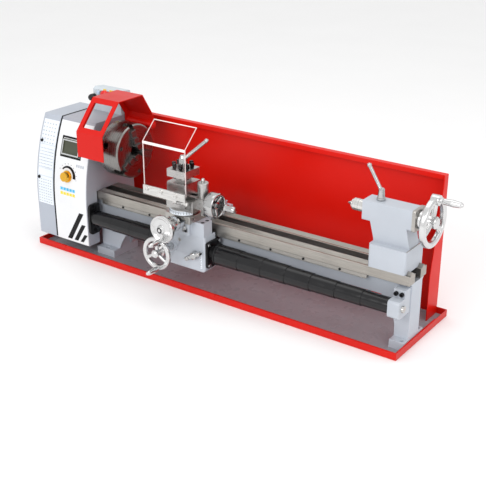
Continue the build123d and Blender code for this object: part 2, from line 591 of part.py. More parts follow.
for number, angle in enumerate(JAW_ANGLES, 1):
    side = spoke_plane(0, angle)
    across = Plane((CHUCK_X1 - 30, 0, AXIS_Z), x_dir=side.z_dir, z_dir=(1, 0, 0))
    with BuildPart() as jaw:
        with BuildSketch(side.offset(5.5)):
            with Locations((CHUCK_X1 - 9, 0)):
                Rectangle(18, JAW_WIDTH - 6)
            with Locations((CHUCK_X1 - 16, 0)):
                Rectangle(5.4, JAW_WIDTH)
        extrude(amount=46)
        for start, height, length in ((5.5, 14.0, 14.0), (19.5, 9.0, 15.0), (34.5, 4.5, 17.0)):
            with BuildSketch(side.offset(start)):
                with Locations((CHUCK_X1 + 0.4 + height / 2, 0)):
                    Rectangle(height, JAW_WIDTH - 1)
            extrude(amount=length)
        with BuildSketch(side.offset(5.5)):
            with Locations((CHUCK_X1 + 0.2, 0)):
                Rectangle(0.6, JAW_WIDTH - 6)
        extrude(amount=46)
        for step in range(6):
            with BuildSketch(side.offset(14.6 + 5.8 * step)):
                with Locations((CHUCK_X1 + 9, -JAW_WIDTH / 2), (CHUCK_X1 + 9, JAW_WIDTH / 2)):
                    Rectangle(16.5, 5.4)
            extrude(amount=2.8, mode=Mode.SUBTRACT)
        with BuildSketch(across):
            with BuildLine():
                Polyline((-20, 0.4), (4, 0.4), (30, 15.5), (30, 60), (-20, 60), close=True)
            make_face()
            with BuildLine():
                Polyline((-20, -0.4), (4, -0.4), (30, -15.5), (30, -60), (-20, -60), close=True)
            make_face()
        extrude(amount=60, mode=Mode.SUBTRACT)
    finish_part(jaw, f"jaw_{number}")


# ---- gear cover --------------------------------------------------------------------------------
COVER_X1 = HEAD_X0 - GAP
COVER_WALL = 2.5
COVER_BOTTOM = HEAD_BOTTOM - 1
COVER_SCREWS = ((-36.0, 258.0), (-62.0, 172.0))
with BuildPart() as gear_cover:
    with BuildSketch(yz_at(COVER_X0)):
        with BuildLine():
            front_curve(0.0, COVER_BOTTOM, HEAD_TOP)
            Polyline(
                (HEAD_TOP_Y, HEAD_TOP), (HEAD_REAR, HEAD_TOP), (HEAD_REAR, COVER_BOTTOM),
                (HEAD_FRONT, COVER_BOTTOM),
            )
        make_face()
    extrude(amount=COVER_X1 - COVER_X0)
    fillet(gear_cover.edges().filter_by(Axis.X), 3)
    offset(amount=-COVER_WALL, openings=gear_cover.faces().sort_by(Axis.X)[-1])
    rod("x", COVER_X0 - 1, COVER_X0 + 5, 0, AXIS_Z, 16, Mode.SUBTRACT)
finish_part(gear_cover, "gear_cover")

with BuildPart() as cover_screws:
    for y, z in COVER_SCREWS:
        rod("y", front_y(z) - 3.5, front_y(z) + COVER_WALL + 3, COVER_X0 + 9, z, 3.5)
finish_part(cover_screws, "cover_screws")


# ---- control box on the headstock --------------------------------------------------------------
BOX_X0, BOX_X1, BOX_FRONT, BOX_REAR, BOX_TOP = -498.0, -411.0, 60.0, 94.0, 374.0
ESTOP_X, START_X, STOP_X = -450.0, -479.0, -467.5
BUTTON_Z = 363.0
with BuildPart() as control_box:
    with BuildSketch(yz_at(BOX_X0)):
        with BuildLine():
            Polyline(
                (BOX_FRONT, HEAD_TOP + 0.02), (BOX_FRONT, BOX_TOP - 5), (BOX_FRONT + 7, BOX_TOP),
                (BOX_REAR, BOX_TOP - 3), (BOX_REAR, HEAD_TOP + 0.02), close=True,
            )
        make_face()
    extrude(amount=BOX_X1 - BOX_X0)
    fillet(control_box.edges().filter_by(Axis.X).group_by(Axis.Z)[-1], 3)
    block(
        BOX_X0 + 3, BOX_X1 - 3, BOX_FRONT + 3, BOX_REAR - 3, HEAD_TOP - 1, BOX_TOP - 5.5,
        Mode.SUBTRACT,
    )
    rod("y", BOX_FRONT - 1, BOX_FRONT + 4, ESTOP_X, BUTTON_Z, 5.5, Mode.SUBTRACT)
    for x in (START_X, STOP_X):
        rod("y", BOX_FRONT - 1, BOX_FRONT + 4, x, BUTTON_Z, 5.0, Mode.SUBTRACT)
    rod("y", BOX_REAR - 4, BOX_REAR + 1, -480, 330, 6.0, Mode.SUBTRACT)
finish_part(control_box, "control_box")

with BuildPart() as estop_button:
    turned(
        "y", ESTOP_X, BUTTON_Z,
        (
            (BOX_FRONT - 19, 0), (BOX_FRONT - 19, 7), (BOX_FRONT - 17, 9.8), (BOX_FRONT - 13, 11),
            (BOX_FRONT - 10, 10.6), (BOX_FRONT - 9, 5), (BOX_FRONT + 5, 5), (BOX_FRONT + 5, 0),
        ),
    )
finish_part(estop_button, "estop_button")

for x, name in ((START_X, "start_button"), (STOP_X, "stop_button")):
    with BuildPart() as push:
        rod("y", BOX_FRONT - 5, BOX_FRONT + 5, x, BUTTON_Z, 4.7)
        chamfer(push.edges().group_by(Axis.Y)[0], 0.8)
    finish_part(push, name)

# ---- chuck guard -------------------------------------------------------------------------------
GUARD_X0, GUARD_X1 = HEAD_X1 + 2.0, -330.0
GUARD_BEND, GUARD_TOP = 315.0, 380.5
GUARD_LINE = (
    (-90.0, 257.0), (-90.0, GUARD_BEND), (-32.0, GUARD_TOP), (46.0, GUARD_TOP), (PIVOT_Y, 326.0),
    (PIVOT_Y, PIVOT_Z),
)
with BuildPart() as chuck_guard:
    with BuildSketch(yz_at(GUARD_X0)):
        with BuildLine():
            Polyline(*GUARD_LINE)
        trace(line_width=2.0)
    extrude(amount=GUARD_X1 - GUARD_X0)
    lean = Vector(0, 58, GUARD_TOP - GUARD_BEND).normalized()
    mid = Vector((GUARD_X0 + GUARD_X1) / 2, -61, (GUARD_BEND + GUARD_TOP) / 2)
    with BuildSketch(Plane(mid, x_dir=(1, 0, 0), z_dir=(0, -lean.Z, lean.Y))):
        RectangleRounded(GUARD_X1 - GUARD_X0 - 22, 63, 3)
    extrude(amount=6, both=True, mode=Mode.SUBTRACT)
    with BuildSketch(yz_at(GUARD_X0)):
        with BuildLine():
            Polyline(
                (-91, 256), (-91, GUARD_BEND + 0.5), (-32.5, GUARD_TOP + 1), (46.5, GUARD_TOP + 1),
                (81, 326), (81, 304), (68, 304), (68, 322), (38, GUARD_TOP - 15), (-26, GUARD_TOP - 15),
                (-76, 310), (-76, 256), close=True,
            )
        make_face()
    extrude(amount=2.0)
    rod("x", GUARD_X0, GUARD_X1, PIVOT_Y, PIVOT_Z, 9)
    rod("x", HEAD_X1 - 8, GUARD_X0, PIVOT_Y, PIVOT_Z, PIVOT_R)
finish_part(chuck_guard, "chuck_guard")

# ---- leadscrew supports and covers -------------------------------------------------------------
FLANGE_X0, FLANGE_X1 = HEAD_X1 + 0.02, HEAD_X1 + 6.0
with BuildPart() as leadscrew_flange:
    with BuildSketch(yz_at(FLANGE_X0)):
        with Locations((SCREW_Y, 95)):
            RectangleRounded(35, 74, 9)
    extrude(amount=FLANGE_X1 - FLANGE_X0)
    rod("x", FLANGE_X1, FLANGE_X1 + 6, SCREW_Y, SCREW_Z, 15)
    rod("x", FLANGE_X0 - 1, FLANGE_X1 + 7, SCREW_Y, SCREW_Z, 9, Mode.SUBTRACT)
    for z in (66.0, 124.0):
        rod("x", FLANGE_X0 - 1, FLANGE_X1 + 1, SCREW_Y, z, 2.1, Mode.SUBTRACT)
finish_part(leadscrew_flange, "leadscrew_flange")

APRON_X0, APRON_X1, APRON_REAR = -164.0, -60.0, -40.0
APRON_BOTTOM, APRON_TOP = 56.0, 139.9
COVER_BORE = 12.5


def bellows(start, end, r_start, r_end, laps):
    """Lapped spiral cover: each lap is a short sleeve a little smaller than the one before."""
    step = (end - start) / laps
    profile = [(start, COVER_BORE)]
    for i in range(laps):
        r = r_start + (r_end - r_start) * i / max(laps - 1, 1)
        profile += [(start + i * step, r), (start + (i + 1) * step, r - 0.25)]
    profile.append((end, COVER_BORE))
    turned("x", SCREW_Y, SCREW_Z, profile)


with BuildPart() as left_cover:
    bellows(FLANGE_X1 + 6.3, APRON_X0 - 0.3, 18.2, 20.6, 4)
finish_part(left_cover, "left_cover")

PLATE_X1 = APRON_X1 + 5.0
with BuildPart() as apron_plate:
    with BuildSketch(yz_at(APRON_X1 + 0.02)):
        with Locations((-52, 97)):
            RectangleRounded(48, 60, 6)
    extrude(amount=PLATE_X1 - APRON_X1 - 0.02)
    rod("x", PLATE_X1, PLATE_X1 + 13, SCREW_Y, SCREW_Z, 15)
    rod("x", PLATE_X1 + 13, PLATE_X1 + 17, SCREW_Y, SCREW_Z, 23.5)
    rod("x", APRON_X1 - 1, PLATE_X1 + 18, SCREW_Y, SCREW_Z, 9, Mode.SUBTRACT)
    for y, z in ((-70.0, 74.0), (-70.0, 121.0), (-34.0, 74.0), (-34.0, 121.0)):
        rod("x", APRON_X1 - 1, PLATE_X1 + 1, y, z, 2.1, Mode.SUBTRACT)
finish_part(apron_plate, "apron_plate")

BRACKET_X0, BRACKET_X1 = 370.0, 394.0
with BuildPart() as right_cover:
    bellows(PLATE_X1 + 17.3, PLATE_X1 + 47, 23.0, 22.4, 1)
    bellows(PLATE_X1 + 47, BRACKET_X0 - 0.3, 20.8, 16.0, 6)
finish_part(right_cover, "right_cover")

with BuildPart() as tail_bracket:
    block(BRACKET_X0, BRACKET_X1, -70, -WEB_OUT - 0.02, 80, 116)
    block(BRACKET_X0, BRACKET_X1, -46, -WEB_OUT - 0.02, 116, 132)
    fillet(tail_bracket.edges().filter_by(Axis.X).group_by(Axis.Y)[0], 6)
    rod("x", BRACKET_X0 - 1, BRACKET_X1 + 1, SCREW_Y, SCREW_Z, SCREW_R + FIT, Mode.SUBTRACT)
    for x, z in ((376.0, 124.0), (388.0, 124.0)):
        rod("y", -50, -WEB_OUT + 1, x, z, 2.6, Mode.SUBTRACT)
finish_part(tail_bracket, "tail_bracket")

with BuildPart() as fixed_screws:
    for x in PANEL_SCREW_X:
        rod("y", PANEL_Y0 - 3, PANEL_Y0, x, 8.0, 4.0)
        rod("y", PANEL_Y0, PANEL_Y1, x, 8.0, 2.0)
    for x in RACK_SCREW_X:
        rod("y", RACK_Y0 - 1.2, RACK_Y0, x, 134.5, 2.6)
        rod("y", RACK_Y0, RACK_Y1, x, 134.5, 1.5)
        rod("y", RACK_Y0 - 1.2, RACK_Y0 - 0.2, x, 134.5, 1.1, Mode.SUBTRACT)
    for z in (66.0, 124.0):
        rod("x", FLANGE_X1, FLANGE_X1 + 3, SCREW_Y, z, 4)
        rod("x", FLANGE_X0, FLANGE_X1, SCREW_Y, z, 2)
        rod("x", FLANGE_X1 + 1, FLANGE_X1 + 3, SCREW_Y, z, 1.8, Mode.SUBTRACT)
    for x, z in ((376.0, 124.0), (388.0, 124.0)):
        rod("y", -51, -46, x, z, 4.4)
        rod("y", -46, -WEB_OUT, x, z, 2.5)
        rod("y", -51, -48, x, z, 2.0, Mode.SUBTRACT)
finish_part(fixed_screws, "fixed_screws")

# ---- saddle and apron --------------------------------------------------------------------------
SADDLE_Y0, SADDLE_Y1 = -90.0, 52.0
SADDLE_BOTTOM = BED_TOP + GAP
CROSS_SCREW_Z = 169.5
WAY_TOP = SADDLE_TOP + 7.0
SADDLE_SCREWS = ((-168, -50), (-168, 0), (-68, -73), (-68, -58))


def way_grooves(x0, x1, bottom):
    """Cut the two V grooves that ride on the bed ways."""
    for side in (-1, 1):
        with BuildSketch(yz_at(x0 - 1)) as groove:
            with BuildLine() as outline:
                Polyline(
                    (side * (WAY_Y - WAY_RISE - 1.2), bottom - 1), (side * WAY_Y, BED_TOP + WAY_RISE + 0.7),
                    (side * (WAY_Y + WAY_RISE + 1.2), bottom - 1), close=True,
                )
            make_face(outline.edges())
        extrude(groove.sketch, amount=x1 - x0 + 2, mode=Mode.SUBTRACT)


with BuildPart() as saddle:
    block(CARRIAGE_X0, CARRIAGE_X1, SADDLE_Y0, SADDLE_Y1, SADDLE_BOTTOM, SADDLE_TOP)
    block(CARRIAGE_X0, CARRIAGE_X1, SADDLE_Y0, -38, 140, SADDLE_BOTTOM + 1)
    block(CARRIAGE_X0, CARRIAGE_X1, 37, SADDLE_Y1, 140, SADDLE_BOTTOM + 1)
    block(CARRIAGE_X0, -160, SADDLE_Y0 - 1, -62, 139, SADDLE_TOP + 1, Mode.SUBTRACT)
    block(-94, CARRIAGE_X1, SADDLE_Y0 - 1, -80, 139, SADDLE_TOP + 1, Mode.SUBTRACT)
    block(-81, CARRIAGE_X1 + 1, -52, SADDLE_Y1 + 1, 139, SADDLE_TOP + 1, Mode.SUBTRACT)
    fillet(saddle.edges().filter_by(Axis.Z).group_by(Axis.Y)[0], 4)
    way_grooves(CARRIAGE_X0, CARRIAGE_X1, SADDLE_BOTTOM)
    with BuildSketch(Plane((0, SADDLE_Y1 - 2, 0), x_dir=(1, 0, 0), z_dir=(0, -1, 0))):
        with BuildLine():
            Polyline(
                (SLIDE_X - 18, SADDLE_TOP), (SLIDE_X - 23, WAY_TOP), (SLIDE_X + 23, WAY_TOP),
                (SLIDE_X + 18, SADDLE_TOP), close=True,
            )
        make_face()
    extrude(amount=SADDLE_Y1 - 2 - SADDLE_Y0 - 2)
    block(SLIDE_X - 6, SLIDE_X + 6, SADDLE_Y0 + 8, SADDLE_Y1 + 1, 165, WAY_TOP + 1, Mode.SUBTRACT)
    rod("y", SADDLE_Y0 - 14, SADDLE_Y0 + 3, SLIDE_X, CROSS_SCREW_Z, 13)
    block(SLIDE_X - 20, SLIDE_X + 20, SADDLE_Y0 - 20, SADDLE_Y0 + 8, SADDLE_TOP + 0.01, 190, Mode.SUBTRACT)
    rod("y", SADDLE_Y0 - 20, SADDLE_Y0 + 10, SLIDE_X, CROSS_SCREW_Z, 4 + FIT, Mode.SUBTRACT)
    for x, y in SADDLE_SCREWS:
        rod("z", SADDLE_TOP - 6, SADDLE_TOP + 1, x, y, 4.2, Mode.SUBTRACT)
finish_part(saddle, "saddle")

with BuildPart() as apron:
    block(APRON_X0, APRON_X1, APRON_FRONT, APRON_REAR, APRON_BOTTOM, APRON_TOP)
    fillet(apron.edges().filter_by(Axis.Y).group_by(Axis.Z)[0], 9)
    fillet(apron.edges().filter_by(Axis.Z).group_by(Axis.Y)[0], 4)
    block(
        APRON_X0 + 5, APRON_X1 - 5, APRON_FRONT + 6, APRON_REAR + 1, APRON_BOTTOM + 9, APRON_TOP + 1,
        Mode.SUBTRACT,
    )
    rod("x", APRON_X0 - 1, APRON_X1 + 1, SCREW_Y, SCREW_Z, 8, Mode.SUBTRACT)
    rod("y", APRON_FRONT - 5, APRON_FRONT + 6, WHEEL_X, WHEEL_Z, 11)
    rod("y", APRON_FRONT - 6, APRON_FRONT + 7, WHEEL_X, WHEEL_Z, 5 + FIT, Mode.SUBTRACT)
    rod("y", APRON_FRONT - 1, APRON_FRONT + 7, PINION_X, PINION_Z, 4 + FIT, Mode.SUBTRACT)
    rod("y", APRON_FRONT - 1, APRON_FRONT + 7, LEVER_X, LEVER_Z, 5 + FIT, Mode.SUBTRACT)
finish_part(apron, "apron")

with BuildPart() as carriage_screws:
    for y, z in ((-70.0, 74.0), (-70.0, 121.0), (-34.0, 74.0), (-34.0, 121.0)):
        rod("x", PLATE_X1, PLATE_X1 + 3, y, z, 4)
        rod("x", APRON_X1 + 0.02, PLATE_X1, y, z, 2)
        rod("x", PLATE_X1 + 1, PLATE_X1 + 3, y, z, 1.8, Mode.SUBTRACT)
    for x, y in SADDLE_SCREWS:
        rod("z", SADDLE_TOP - 6, SADDLE_TOP - 0.5, x, y, 4.0)
        rod("z", SADDLE_TOP - 3, SADDLE_TOP, x, y, 2.2, Mode.SUBTRACT)
finish_part(carriage_screws, "carriage_screws")

APRON_PHASE = 0.0
with BuildPart() as rack_pinion:
    gear("y", RACK_Y0, RACK_Y1, PINION_X, PINION_Z, PINION_TEETH, pi / 2 + pi / PINION_TEETH, 0)
    rod("y", APRON_FRONT + 0.5, RACK_Y0, PINION_X, PINION_Z, 4)
    gear("y", -70, -64, PINION_X, PINION_Z, APRON_GEAR_TEETH, APRON_PHASE, 0)
finish_part(rack_pinion, "rack_pinion")


def grip(axis_x, axis_z, base_y, length, r):
    """Turned handle standing off a wheel towards the operator."""
    turned(
        "y", axis_x, axis_z,
        (
            (base_y + 1, 0), (base_y + 1, 0.55 * r), (base_y - 3, 0.55 * r), (base_y - 4, 0.8 * r),
            (base_y - 0.45 * length, r), (base_y - 0.85 * length, 0.85 * r), (base_y - length, 0.5 * r),
            (base_y - length, 0),
        ),
    )


WHEEL_R, WHEEL_Y0, WHEEL_Y1 = 37.0, -136.0, -126.0
WHEEL_PHASE = mesh_phase(
    (PINION_X, PINION_Z), APRON_GEAR_TEETH, APRON_PHASE, (WHEEL_X, WHEEL_Z), WHEEL_GEAR_TEETH
)
with BuildPart() as carriage_wheel:
    rod("y", WHEEL_Y0, WHEEL_Y1, WHEEL_X, WHEEL_Z, WHEEL_R)
    rod("y", WHEEL_Y0 - 1, WHEEL_Y1 + 1, WHEEL_X, WHEEL_Z, WHEEL_R - 10, Mode.SUBTRACT)
    fillet(carriage_wheel.edges().filter_by(GeomType.CIRCLE), 3.5)
    turned(
        "y", WHEEL_X, WHEEL_Z,
        (
            (WHEEL_Y0 - 6, 0), (WHEEL_Y0 - 6, 6), (WHEEL_Y0 - 3, 9), (WHEEL_Y1, 9), (-120, 12),
            (-100, 12), (-98, 8), (APRON_FRONT - 5.3, 8), (APRON_FRONT - 5.3, 5), (-72, 5), (-72, 0),
        ),
    )
    mid_y, rim_r = (WHEEL_Y0 + WHEEL_Y1) / 2, WHEEL_R - 5
    for k in range(3):
        c, s = cos(radians(90 + 120 * k)), sin(radians(90 + 120 * k))
        sloped_rod(
            (WHEEL_X + 5 * c, mid_y, WHEEL_Z + 5 * s), (WHEEL_X + rim_r * c, mid_y, WHEEL_Z + rim_r * s), 4.0
        )
    gear("y", -70, -64, WHEEL_X, WHEEL_Z, WHEEL_GEAR_TEETH, WHEEL_PHASE, 0)
    rod("y", -72.5, -70, WHEEL_X, WHEEL_Z, 5)
    grip(WHEEL_X + 6, WHEEL_Z - WHEEL_R + 5, WHEEL_Y0 + 2, 38, 6)
finish_part(carriage_wheel, "carriage_wheel")

with BuildPart() as half_nut_lever:
    turned(
        "y", LEVER_X, LEVER_Z,
        ((-92, 0), (-92, 5), (-90, 8), (-82, 9.5), (-79, 9.5), (-79, 5), (-66, 5), (-66, 0)),
    )
    for dx, dz in ((16.0, 8.8), (-15.0, -8.2)):
        rod("y", -95, -84, LEVER_X + dx, LEVER_Z + dz, 5)
    lever_ends = half_nut_lever.edges().filter_by(GeomType.CIRCLE).group_by(Axis.Y)[0]
    chamfer(lever_ends, 1.5)
    with Locations(Plane((LEVER_X + 0.5, -89.5, LEVER_Z + 0.3), x_dir=(31, 0, 17), z_dir=(0, -1, 0))):
        Box(30, 6, 5)
finish_part(half_nut_lever, "half_nut_lever")

# ---- cross slide, compound, tool post ----------------------------------------------------------
CROSS_Y0, CROSS_Y1 = -100.0, 22.0
CROSS_HALF = 34.0
with BuildPart() as cross_slide:
    block(SLIDE_X - CROSS_HALF, SLIDE_X + CROSS_HALF, CROSS_Y0, CROSS_Y1, SADDLE_TOP + GAP, CROSS_TOP)
    fillet(cross_slide.edges().filter_by(Axis.Z), 3)
    with BuildSketch(Plane((0, CROSS_Y1 + 1, 0), x_dir=(1, 0, 0), z_dir=(0, -1, 0))):
        with BuildLine():
            Polyline(
                (SLIDE_X - 18.4, SADDLE_TOP - 1), (SLIDE_X - 18.4, SADDLE_TOP),
                (SLIDE_X - 23.6, WAY_TOP + 0.4), (SLIDE_X + 23.6, WAY_TOP + 0.4),
                (SLIDE_X + 18.4, SADDLE_TOP), (SLIDE_X + 18.4, SADDLE_TOP - 1), close=True,
            )
        make_face()
    extrude(amount=CROSS_Y1 - CROSS_Y0 + 2, mode=Mode.SUBTRACT)
    block(SLIDE_X - 5.5, SLIDE_X + 5.5, -50, -30, 165.3, CROSS_TOP - 2)
    rod("y", -51, -29, SLIDE_X, CROSS_SCREW_Z, 4.3, Mode.SUBTRACT)
    for y in (-85, 8):
        rod("x", SLIDE_X + CROSS_HALF - 6, SLIDE_X + CROSS_HALF + 1, y, 180, 2.5, Mode.SUBTRACT)
finish_part(cross_slide, "cross_slide")

CROSS_WHEEL_R = 30.0
with BuildPart() as cross_wheel:
    turned(
        "y", SLIDE_X, CROSS_SCREW_Z,
        (
            (-158, 0), (-158, 6), (-155, 9), (-152, 10), (-150, 22), (-153, 26),
            (-153, CROSS_WHEEL_R - 2), (-150, CROSS_WHEEL_R), (-144, CROSS_WHEEL_R),
            (-142, CROSS_WHEEL_R - 3), (-142, 16), (-130, 15), (-130, 17), (-108, 17), (-108, 12.5),
            (SADDLE_Y0 - 14.3, 12.5), (SADDLE_Y0 - 14.3, 4), (30, 4), (30, 0),
        ),
    )
    grip(SLIDE_X + 2, CROSS_SCREW_Z - 23, -152, 40, 6)
finish_part(cross_wheel, "cross_wheel")

SWIVEL_X, SWIVEL_Y, SWIVEL_R = SLIDE_X, FEED_Y, 31.0
BASE_X0, BASE_X1 = -147.0, -76.0
HINGE_Y, HINGE_Z = -113.5, 222.0
with BuildPart() as compound_base:
    rod("z", CROSS_TOP + GAP, 198, SWIVEL_X, SWIVEL_Y, SWIVEL_R)
    block(BASE_X0, BASE_X1, -97, -47, 197, COMPOUND_TOP)
    fillet(compound_base.edges().filter_by(Axis.Z).group_by(Axis.Z)[-1], 2)
    block(BASE_X1 - 1, -52, FEED_Y - 13, FEED_Y + 13, 203, COMPOUND_TOP + 6)
    block(-59, -52, FEED_Y - 18, FEED_Y + 16, 194, COMPOUND_TOP + 7)
    with BuildSketch(Plane((BASE_X0, 0, 0), x_dir=(0, 1, 0), z_dir=(1, 0, 0))):
        with BuildLine():
            Polyline(
                (FEED_Y - 10, COMPOUND_TOP), (FEED_Y - 15, COMPOUND_TOP + 7), (FEED_Y + 15, COMPOUND_TOP + 7),
                (FEED_Y + 10, COMPOUND_TOP), close=True,
            )
        make_face()
    extrude(amount=BASE_X1 - BASE_X0)
    block(BASE_X0 + 6, BASE_X1 - 4, FEED_Y - 5.5, FEED_Y + 5.5, 212, COMPOUND_TOP + 8, Mode.SUBTRACT)
    rod("x", BASE_X1 - 6, -51, FEED_Y, FEED_Z, 4 + FIT, Mode.SUBTRACT)
    turned(
        "z", -66, FEED_Y,
        (
            (COMPOUND_TOP + 3, 0), (COMPOUND_TOP + 3, 10.4), (COMPOUND_TOP + 9, 10.4),
            (COMPOUND_TOP + 10, 12), (COMPOUND_TOP + 38, 12), (COMPOUND_TOP + 39.5, 10.5),
            (COMPOUND_TOP + 39.5, 4), (COMPOUND_TOP + 44, 4.6), (COMPOUND_TOP + 47, 3.4),
            (COMPOUND_TOP + 48.5, 0),
        ),
    )
    rod("y", -108, -96, -92, 215, 6)
    block(-100, -84, -110, -106, 209, HINGE_Z)
    rod("x", -100, -84, HINGE_Y, HINGE_Z, 4.6)
    block(-100, -84, HINGE_Y, -108, 217, HINGE_Z + 4)
    rod("x", -112, -72, HINGE_Y, HINGE_Z, 2.5)
finish_part(compound_base, "compound_base")

TOP_X0, TOP_X1 = -145.0, -95.0
with BuildPart() as top_slide:
    block(TOP_X0, TOP_X1, -96, -46, COMPOUND_TOP + GAP, TOP_SLIDE_TOP)
    fillet(top_slide.edges().filter_by(Axis.Z), 2)
    with BuildSketch(Plane((TOP_X0 - 1, 0, 0), x_dir=(0, 1, 0), z_dir=(1, 0, 0))):
        with BuildLine():
            Polyline(
                (FEED_Y - 10.4, COMPOUND_TOP - 1), (FEED_Y - 10.4, COMPOUND_TOP),
                (FEED_Y - 15.6, COMPOUND_TOP + 7.4), (FEED_Y + 15.6, COMPOUND_TOP + 7.4),
                (FEED_Y + 10.4, COMPOUND_TOP), (FEED_Y + 10.4, COMPOUND_TOP - 1), close=True,
            )
        make_face()
    extrude(amount=TOP_X1 - TOP_X0 + 2, mode=Mode.SUBTRACT)
    block(-126, -108, FEED_Y - 5, FEED_Y + 5, 212.4, COMPOUND_TOP + 9)
    rod("x", -127, -107, FEED_Y, FEED_Z, 4.3, Mode.SUBTRACT)
    rod("z", TOP_SLIDE_TOP - 1, 300, POST_X, POST_Y, 6)
finish_part(top_slide, "top_slide")

TOP_WHEEL_R = 27.0
with BuildPart() as top_wheel:
    turned(
        "x", FEED_Y, FEED_Z,
        (
            (-136, 0), (-136, 4), (-51.7, 4), (-51.7, 12), (-48, 12), (-48, TOP_WHEEL_R - 2),
            (-46, TOP_WHEEL_R), (-28, TOP_WHEEL_R), (-26, TOP_WHEEL_R - 2), (-26, TOP_WHEEL_R - 4),
            (-28, TOP_WHEEL_R - 5), (-43, TOP_WHEEL_R - 5), (-43, 10), (-30, 8), (-30, 5), (-9, 5),
            (-9, 8.5), (-5, 8.5), (-4, 6.5), (11, 7.5), (16, 6), (17, 3), (17, 0),
        ),
    )
    for k in range(3):
        c, s = cos(radians(35 + 120 * k)), sin(radians(35 + 120 * k))
        rim_r = TOP_WHEEL_R - 3
        sloped_rod((-36, FEED_Y + 4 * c, FEED_Z + 4 * s), (-34, FEED_Y + rim_r * c, FEED_Z + rim_r * s), 3.2)
finish_part(top_wheel, "top_wheel")

POST_HALF, POST_CORE = 25.0, 12.0
SLOT_Z0, SLOT_Z1, POST_TOP = 254.0, 266.0, 282.0
POST_SCREWS = [(sx * 18, sy * 8) for sx in (-1, 1) for sy in (-1, 1)]
POST_SCREWS += [(sx * 8, sy * 18) for sx in (-1, 1) for sy in (-1, 1)]
with BuildPart() as tool_post:
    block(
        POST_X - POST_HALF, POST_X + POST_HALF, POST_Y - POST_HALF, POST_Y + POST_HALF,
        TOP_SLIDE_TOP + GAP, POST_TOP,
    )
    fillet(tool_post.edges().filter_by(Axis.Z), 2)
    for sx in (-1, 1):
        x0, x1 = sorted((POST_X + sx * POST_CORE, POST_X + sx * (POST_HALF + 1)))
        block(x0, x1, POST_Y - 30, POST_Y + 30, SLOT_Z0, SLOT_Z1, Mode.SUBTRACT)
        y0, y1 = sorted((POST_Y + sx * POST_CORE, POST_Y + sx * (POST_HALF + 1)))
        block(POST_X - 30, POST_X + 30, y0, y1, SLOT_Z0, SLOT_Z1, Mode.SUBTRACT)
    rod("z", TOP_SLIDE_TOP, POST_TOP + 1, POST_X, POST_Y, 6 + FIT, Mode.SUBTRACT)
    for dx, dy in POST_SCREWS:
        rod("z", SLOT_Z1 - 1, POST_TOP + 1, POST_X + dx, POST_Y + dy, 3 + FIT, Mode.SUBTRACT)
finish_part(tool_post, "tool_post")

with BuildPart() as tool_post_screws:
    for dx, dy in POST_SCREWS:
        x, y = POST_X + dx, POST_Y + dy
        rod("z", SLOT_Z1 - 4, POST_TOP + 3, x, y, 3)
        rod("z", POST_TOP + 2, POST_TOP + 4, x, y, 3.8)
        block(x - 3.2, x + 3.2, y - 3.2, y + 3.2, POST_TOP + 4, POST_TOP + 12)
finish_part(tool_post_screws, "tool_post_screws")

with BuildPart() as tool_post_lever:
    turned(
        "z", POST_X, POST_Y,
        (
            (POST_TOP + GAP, 6 + FIT), (POST_TOP + GAP, 10.0), (POST_TOP + 10, 10.0), (POST_TOP + 22, 7.5),
            (POST_TOP + 27, 5.5), (POST_TOP + 28, 0), (300.3, 0), (300.3, 6 + FIT),
        ),
    )
    sloped_rod((POST_X + 4, POST_Y + 2, 303), (POST_X + 44, POST_Y + 24, 342), 3.6)
    ball(POST_X + 44, POST_Y + 24, 342, 4.6)
finish_part(tool_post_lever, "tool_post_lever")

SHIELD_X0, SHIELD_X1 = -191.0, -78.0
with BuildPart() as tool_guard:
    with BuildSketch(yz_at(SHIELD_X0)):
        with BuildLine():
            Polyline((-113.5, 236), (-113.5, 338.5), (-74, 376.5))
        trace(line_width=3.0)
    extrude(amount=SHIELD_X1 - SHIELD_X0)
finish_part(tool_guard, "tool_guard")

with BuildPart() as guard_strip:
    block(SHIELD_X0, SHIELD_X1, -118.2, -115.02, 224, 244)
    block(-101, -83, -119, -114, 223, 227.2, Mode.SUBTRACT)
    for x0, x1 in ((-111, -101), (-83, -73)):
        rod("x", x0, x1, HINGE_Y, HINGE_Z, 4.7)
        rod("x", x0 - 1, x1 + 1, HINGE_Y, HINGE_Z, 2.6, Mode.SUBTRACT)
    for x in (-181, -143, -104):
        rod("y", -121, -118.2, x, 236, 4.5)
        rod("y", -122, -120, x, 236, 2.0, Mode.SUBTRACT)
finish_part(guard_strip, "guard_strip")

